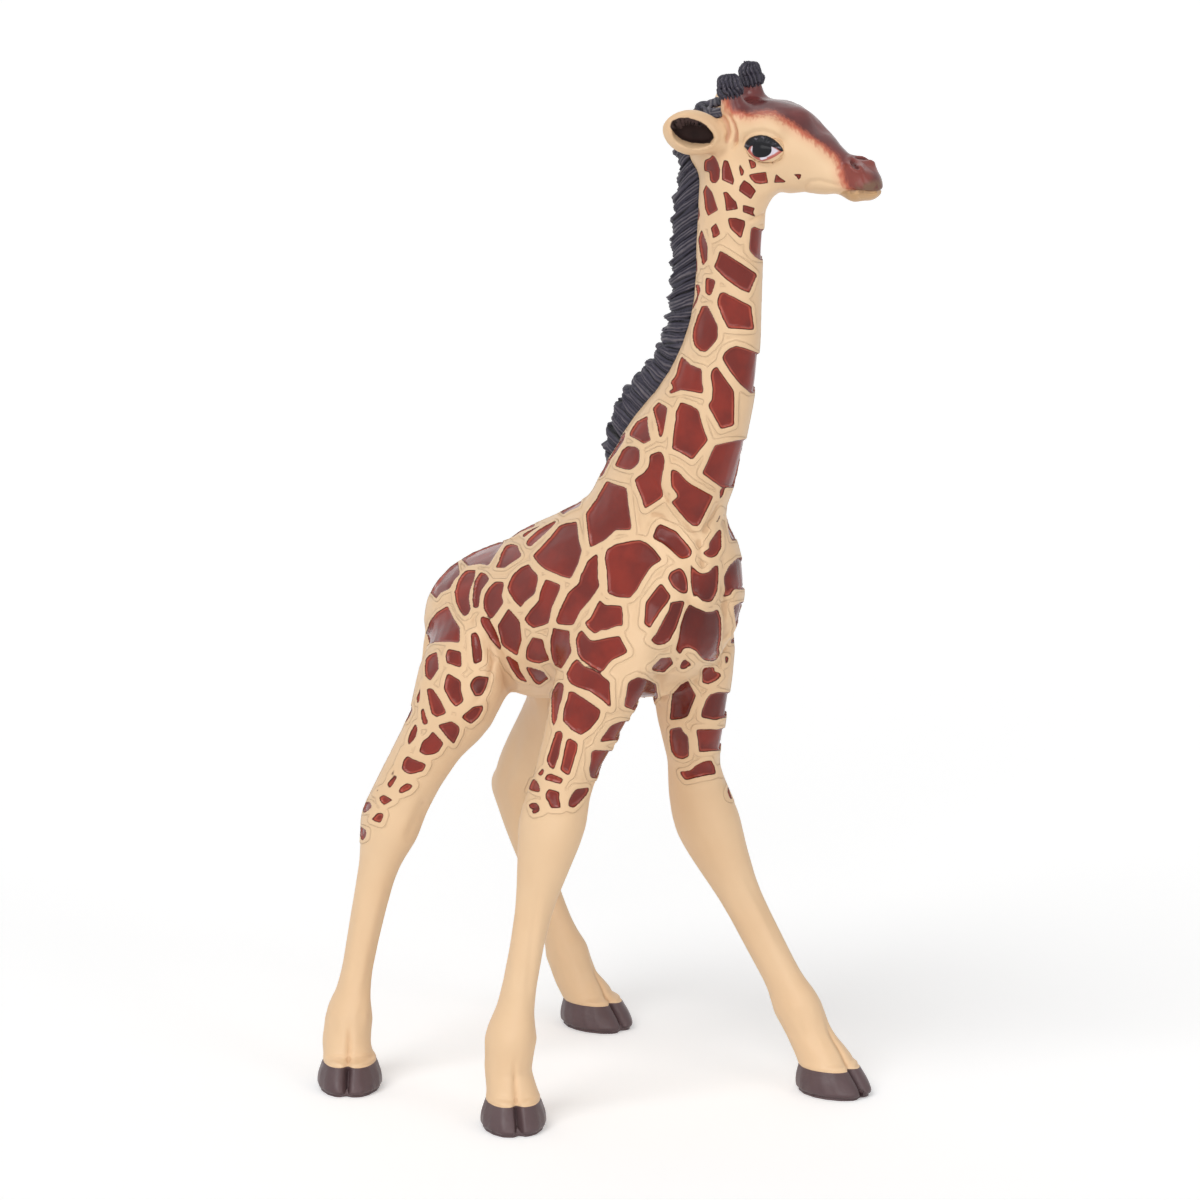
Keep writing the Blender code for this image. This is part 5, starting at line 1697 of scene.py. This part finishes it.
def coat_look():
    """Cream satin paint with glossy red-brown patches, and the paint of the head and ears."""
    look = Look("coat_paint")
    wobble = look.times(look.minus(look.noise(*PATCH_WOBBLE), 0.5), WOBBLE_REACH)
    patch = look.plus(look.field("patch"), wobble)
    ear = look.plus(look.field("ear"), look.times(look.noise(*EAR_RIM_CLOUDS), EAR_WOBBLE))
    cream = look.mix(look.noise(*CREAM_CLOUDS), CREAM_LIGHT, CREAM_DARK)
    # Painted shade: the cream darker in the skin's hollows and creases
    cream = look.thin_layer(cream, look.field("hollow"), HOLLOW_EDGE, PAINTED_SHADE_AND_FOLD_SHARE, CREAM_PAINTED_SHADE)
    cream = look.thin_layer(cream, look.field("fold"), FOLD_EDGE, PAINTED_SHADE_AND_FOLD_SHARE, FOLD_BROWN)
    colour, engraved = patch_paint(look, patch, cream)
    colour = mouth_paint(look, cap_paint(look, colour))
    colour = look.layer(colour, "lash", LASH_EDGE, EYE_BLACK)
    colour = ear_paint(look, ear, colour)
    glossy = look.step(patch, *GLOSS_EDGE)
    glossy = look.greater(glossy, look.step(look.field("cap"), *CAP_ROUGHNESS_EDGE))
    rough = look.step(glossy, 0, 1, CREAM_ROUGHNESS, PATCH_ROUGHNESS)
    rough = look.greater(rough, look.step(ear, *EAR_EDGE, 0.0, EAR_ROUGHNESS))
    edge = look.times(look.step(patch, *EDGE_RISE_BAND), EDGE_RISE)
    edge = look.minus(edge, look.times(engraved, LINE_SINK))
    height = look.plus(edge, look.times(look.noise(*COAT_BUMPS), GRAIN_RISE))
    return look.set(colour=colour, rough=rough, normal=look.bump(height, MM), gloss=COAT_GLOSS)


def eye_look():
    """Gloss black and white paint on the eyeball, pink in its corners but for a painted glint kept white
    under the iris, with grey lashes above it.
    """
    look = Look("eye_paint")
    pink = look.step(look.field("eye"), *CORNER_EDGE)
    # Painted highlight: the glint under the iris stays white, not pink
    pink = look.times(pink, look.step(look.field("glint"), *GLINT_EDGE))
    white = look.mix(pink, EYE_WHITE, EYE_PINK)
    colour = look.layer(CREAM_LIGHT, "eye", SOCKET_EDGE, EYE_PINK)
    colour = look.layer(colour, "eye", EYE_EDGE, white)
    colour = look.layer(colour, "iris", IRIS_EDGE, EYE_BLACK)
    dabs = look.times(look.field("streak"), look.mottle(*DAB_MOTTLE))
    colour = look.layer(colour, "lash", EYE_LASH_EDGE, look.mix(dabs, EYE_BLACK, LASH_GREY))
    rough = look.step(look.field("lash"), *EYE_GLOSS_EDGE, EYE_ROUGHNESS, LASH_ROUGHNESS)
    return look.set(colour=colour, rough=rough, gloss=EYE_GLOSS)


def hair_look():
    """Blue-black paint, with painted highlights brushed grey along the ridges of the hair and painted
    shade in black between them.
    """
    look = Look("hair_paint")
    dark = look.mix(look.noise(*HAIR_CLOUDS), HAIR_DARK, HAIR_MID)
    # Painted shade: black in the valleys between the strands
    dark = look.layer(dark, "ridge", RIDGE_DARK_EDGE, HAIR_VALLEY_SHADE)
    # Painted highlight: grey brushed along the ridges
    brushed = look.times(look.step(look.field("ridge"), *RIDGE_LIGHT_EDGE), look.noise(*HAIR_STREAKS))
    colour = look.mix(look.times(brushed, RIDGE_SHARE), dark, HAIR_RIDGE_HIGHLIGHT)
    rough = look.mottle(*HAIR_MOTTLE, *HAIR_ROUGHNESS)
    normal = look.bump(look.noise(*HAIR_BUMPS), FINE_BUMP)
    return look.set(colour=colour, rough=rough, normal=normal, gloss=HAIR_GLOSS)


def hoof_look():
    """Dark satin plastic with soft mottling and a fine grain."""
    look = Look("hoof_paint")
    colour = look.mix(look.noise(*HOOF_CLOUDS), HOOF_DARK, HOOF_LIGHT)
    rough = look.mottle(*HOOF_MOTTLE, *HOOF_ROUGHNESS)
    normal = look.bump(look.noise(*HOOF_BUMPS), FINE_BUMP)
    return look.set(colour=colour, rough=rough, normal=normal, gloss=HOOF_GLOSS)


def add_camera():
    """A camera where the photograph's stood."""
    eye, back, right, up = photo_axes()
    lens = bpy.data.cameras.new("photo_camera")
    lens.sensor_width = SENSOR
    lens.lens = PHOTO_FOCAL / PHOTO_SIZE * SENSOR
    made = add_object("photo_camera", lens)
    turned = Matrix((right, up, back)).transposed().to_4x4()
    made.matrix_world = Matrix.Translation(Vector(eye)) @ turned
    bpy.context.scene.camera = made


def add_sun(name, azimuth, height, strength, softness):
    """Soft light from a direction, in degrees round from +X and above the floor."""
    lamp = bpy.data.lights.new(name, "SUN")
    lamp.energy = strength
    lamp.angle = np.radians(softness)
    turn, rise = np.radians(azimuth), np.radians(height)
    way = Vector((np.cos(turn) * np.cos(rise), np.sin(turn) * np.cos(rise), np.sin(rise)))
    add_object(name, lamp).rotation_euler = way.to_track_quat("Z", "Y").to_euler()


def add_floor():
    """A pale floor without an edge in view. It looks white and keeps the object's shadow."""
    form = bmesh.new()
    bmesh.ops.create_circle(form, cap_ends=True, segments=FLOOR_CORNERS, radius=FLOOR_RADIUS)
    floor = add_object("floor", form_mesh("floor", form))
    look = Look("floor_paint")
    lift = look.times(look.shown(), FLOOR_LIFT)
    floor.data.materials.append(
        look.set(colour=FLOOR_COLOUR, rough=FLOOR_ROUGHNESS, glow=(1.0, 1.0, 1.0), glow_strength=lift)
    )


def add_surround():
    """A world that looks white and gives a soft, weaker light."""
    world = bpy.data.worlds.new("studio")
    tree = Nodes(world)
    background = tree.nodes["Background"].inputs
    background["Color"].default_value = (1, 1, 1, 1)
    tree.feed(background["Strength"], tree.step(tree.shown(), 0, 1, SURROUND_LIGHT, 1.0))
    bpy.context.scene.world = world


add_camera()
coat_paint, hair_paint = coat_look(), hair_look()
add_coat(coat_paint, hoof_look())
eye_paint = eye_look()
for side in ("left", "right"):
    add_eye(side, eye_paint)
add_mane(hair_paint)
for tuft in TUFTS:
    add_tuft(*tuft, hair_paint)
add_tail(coat_paint)
add_floor()
add_surround()
for sun in LAMPS:
    add_sun(*sun)
bpy.context.scene.view_settings.view_transform = "Standard"
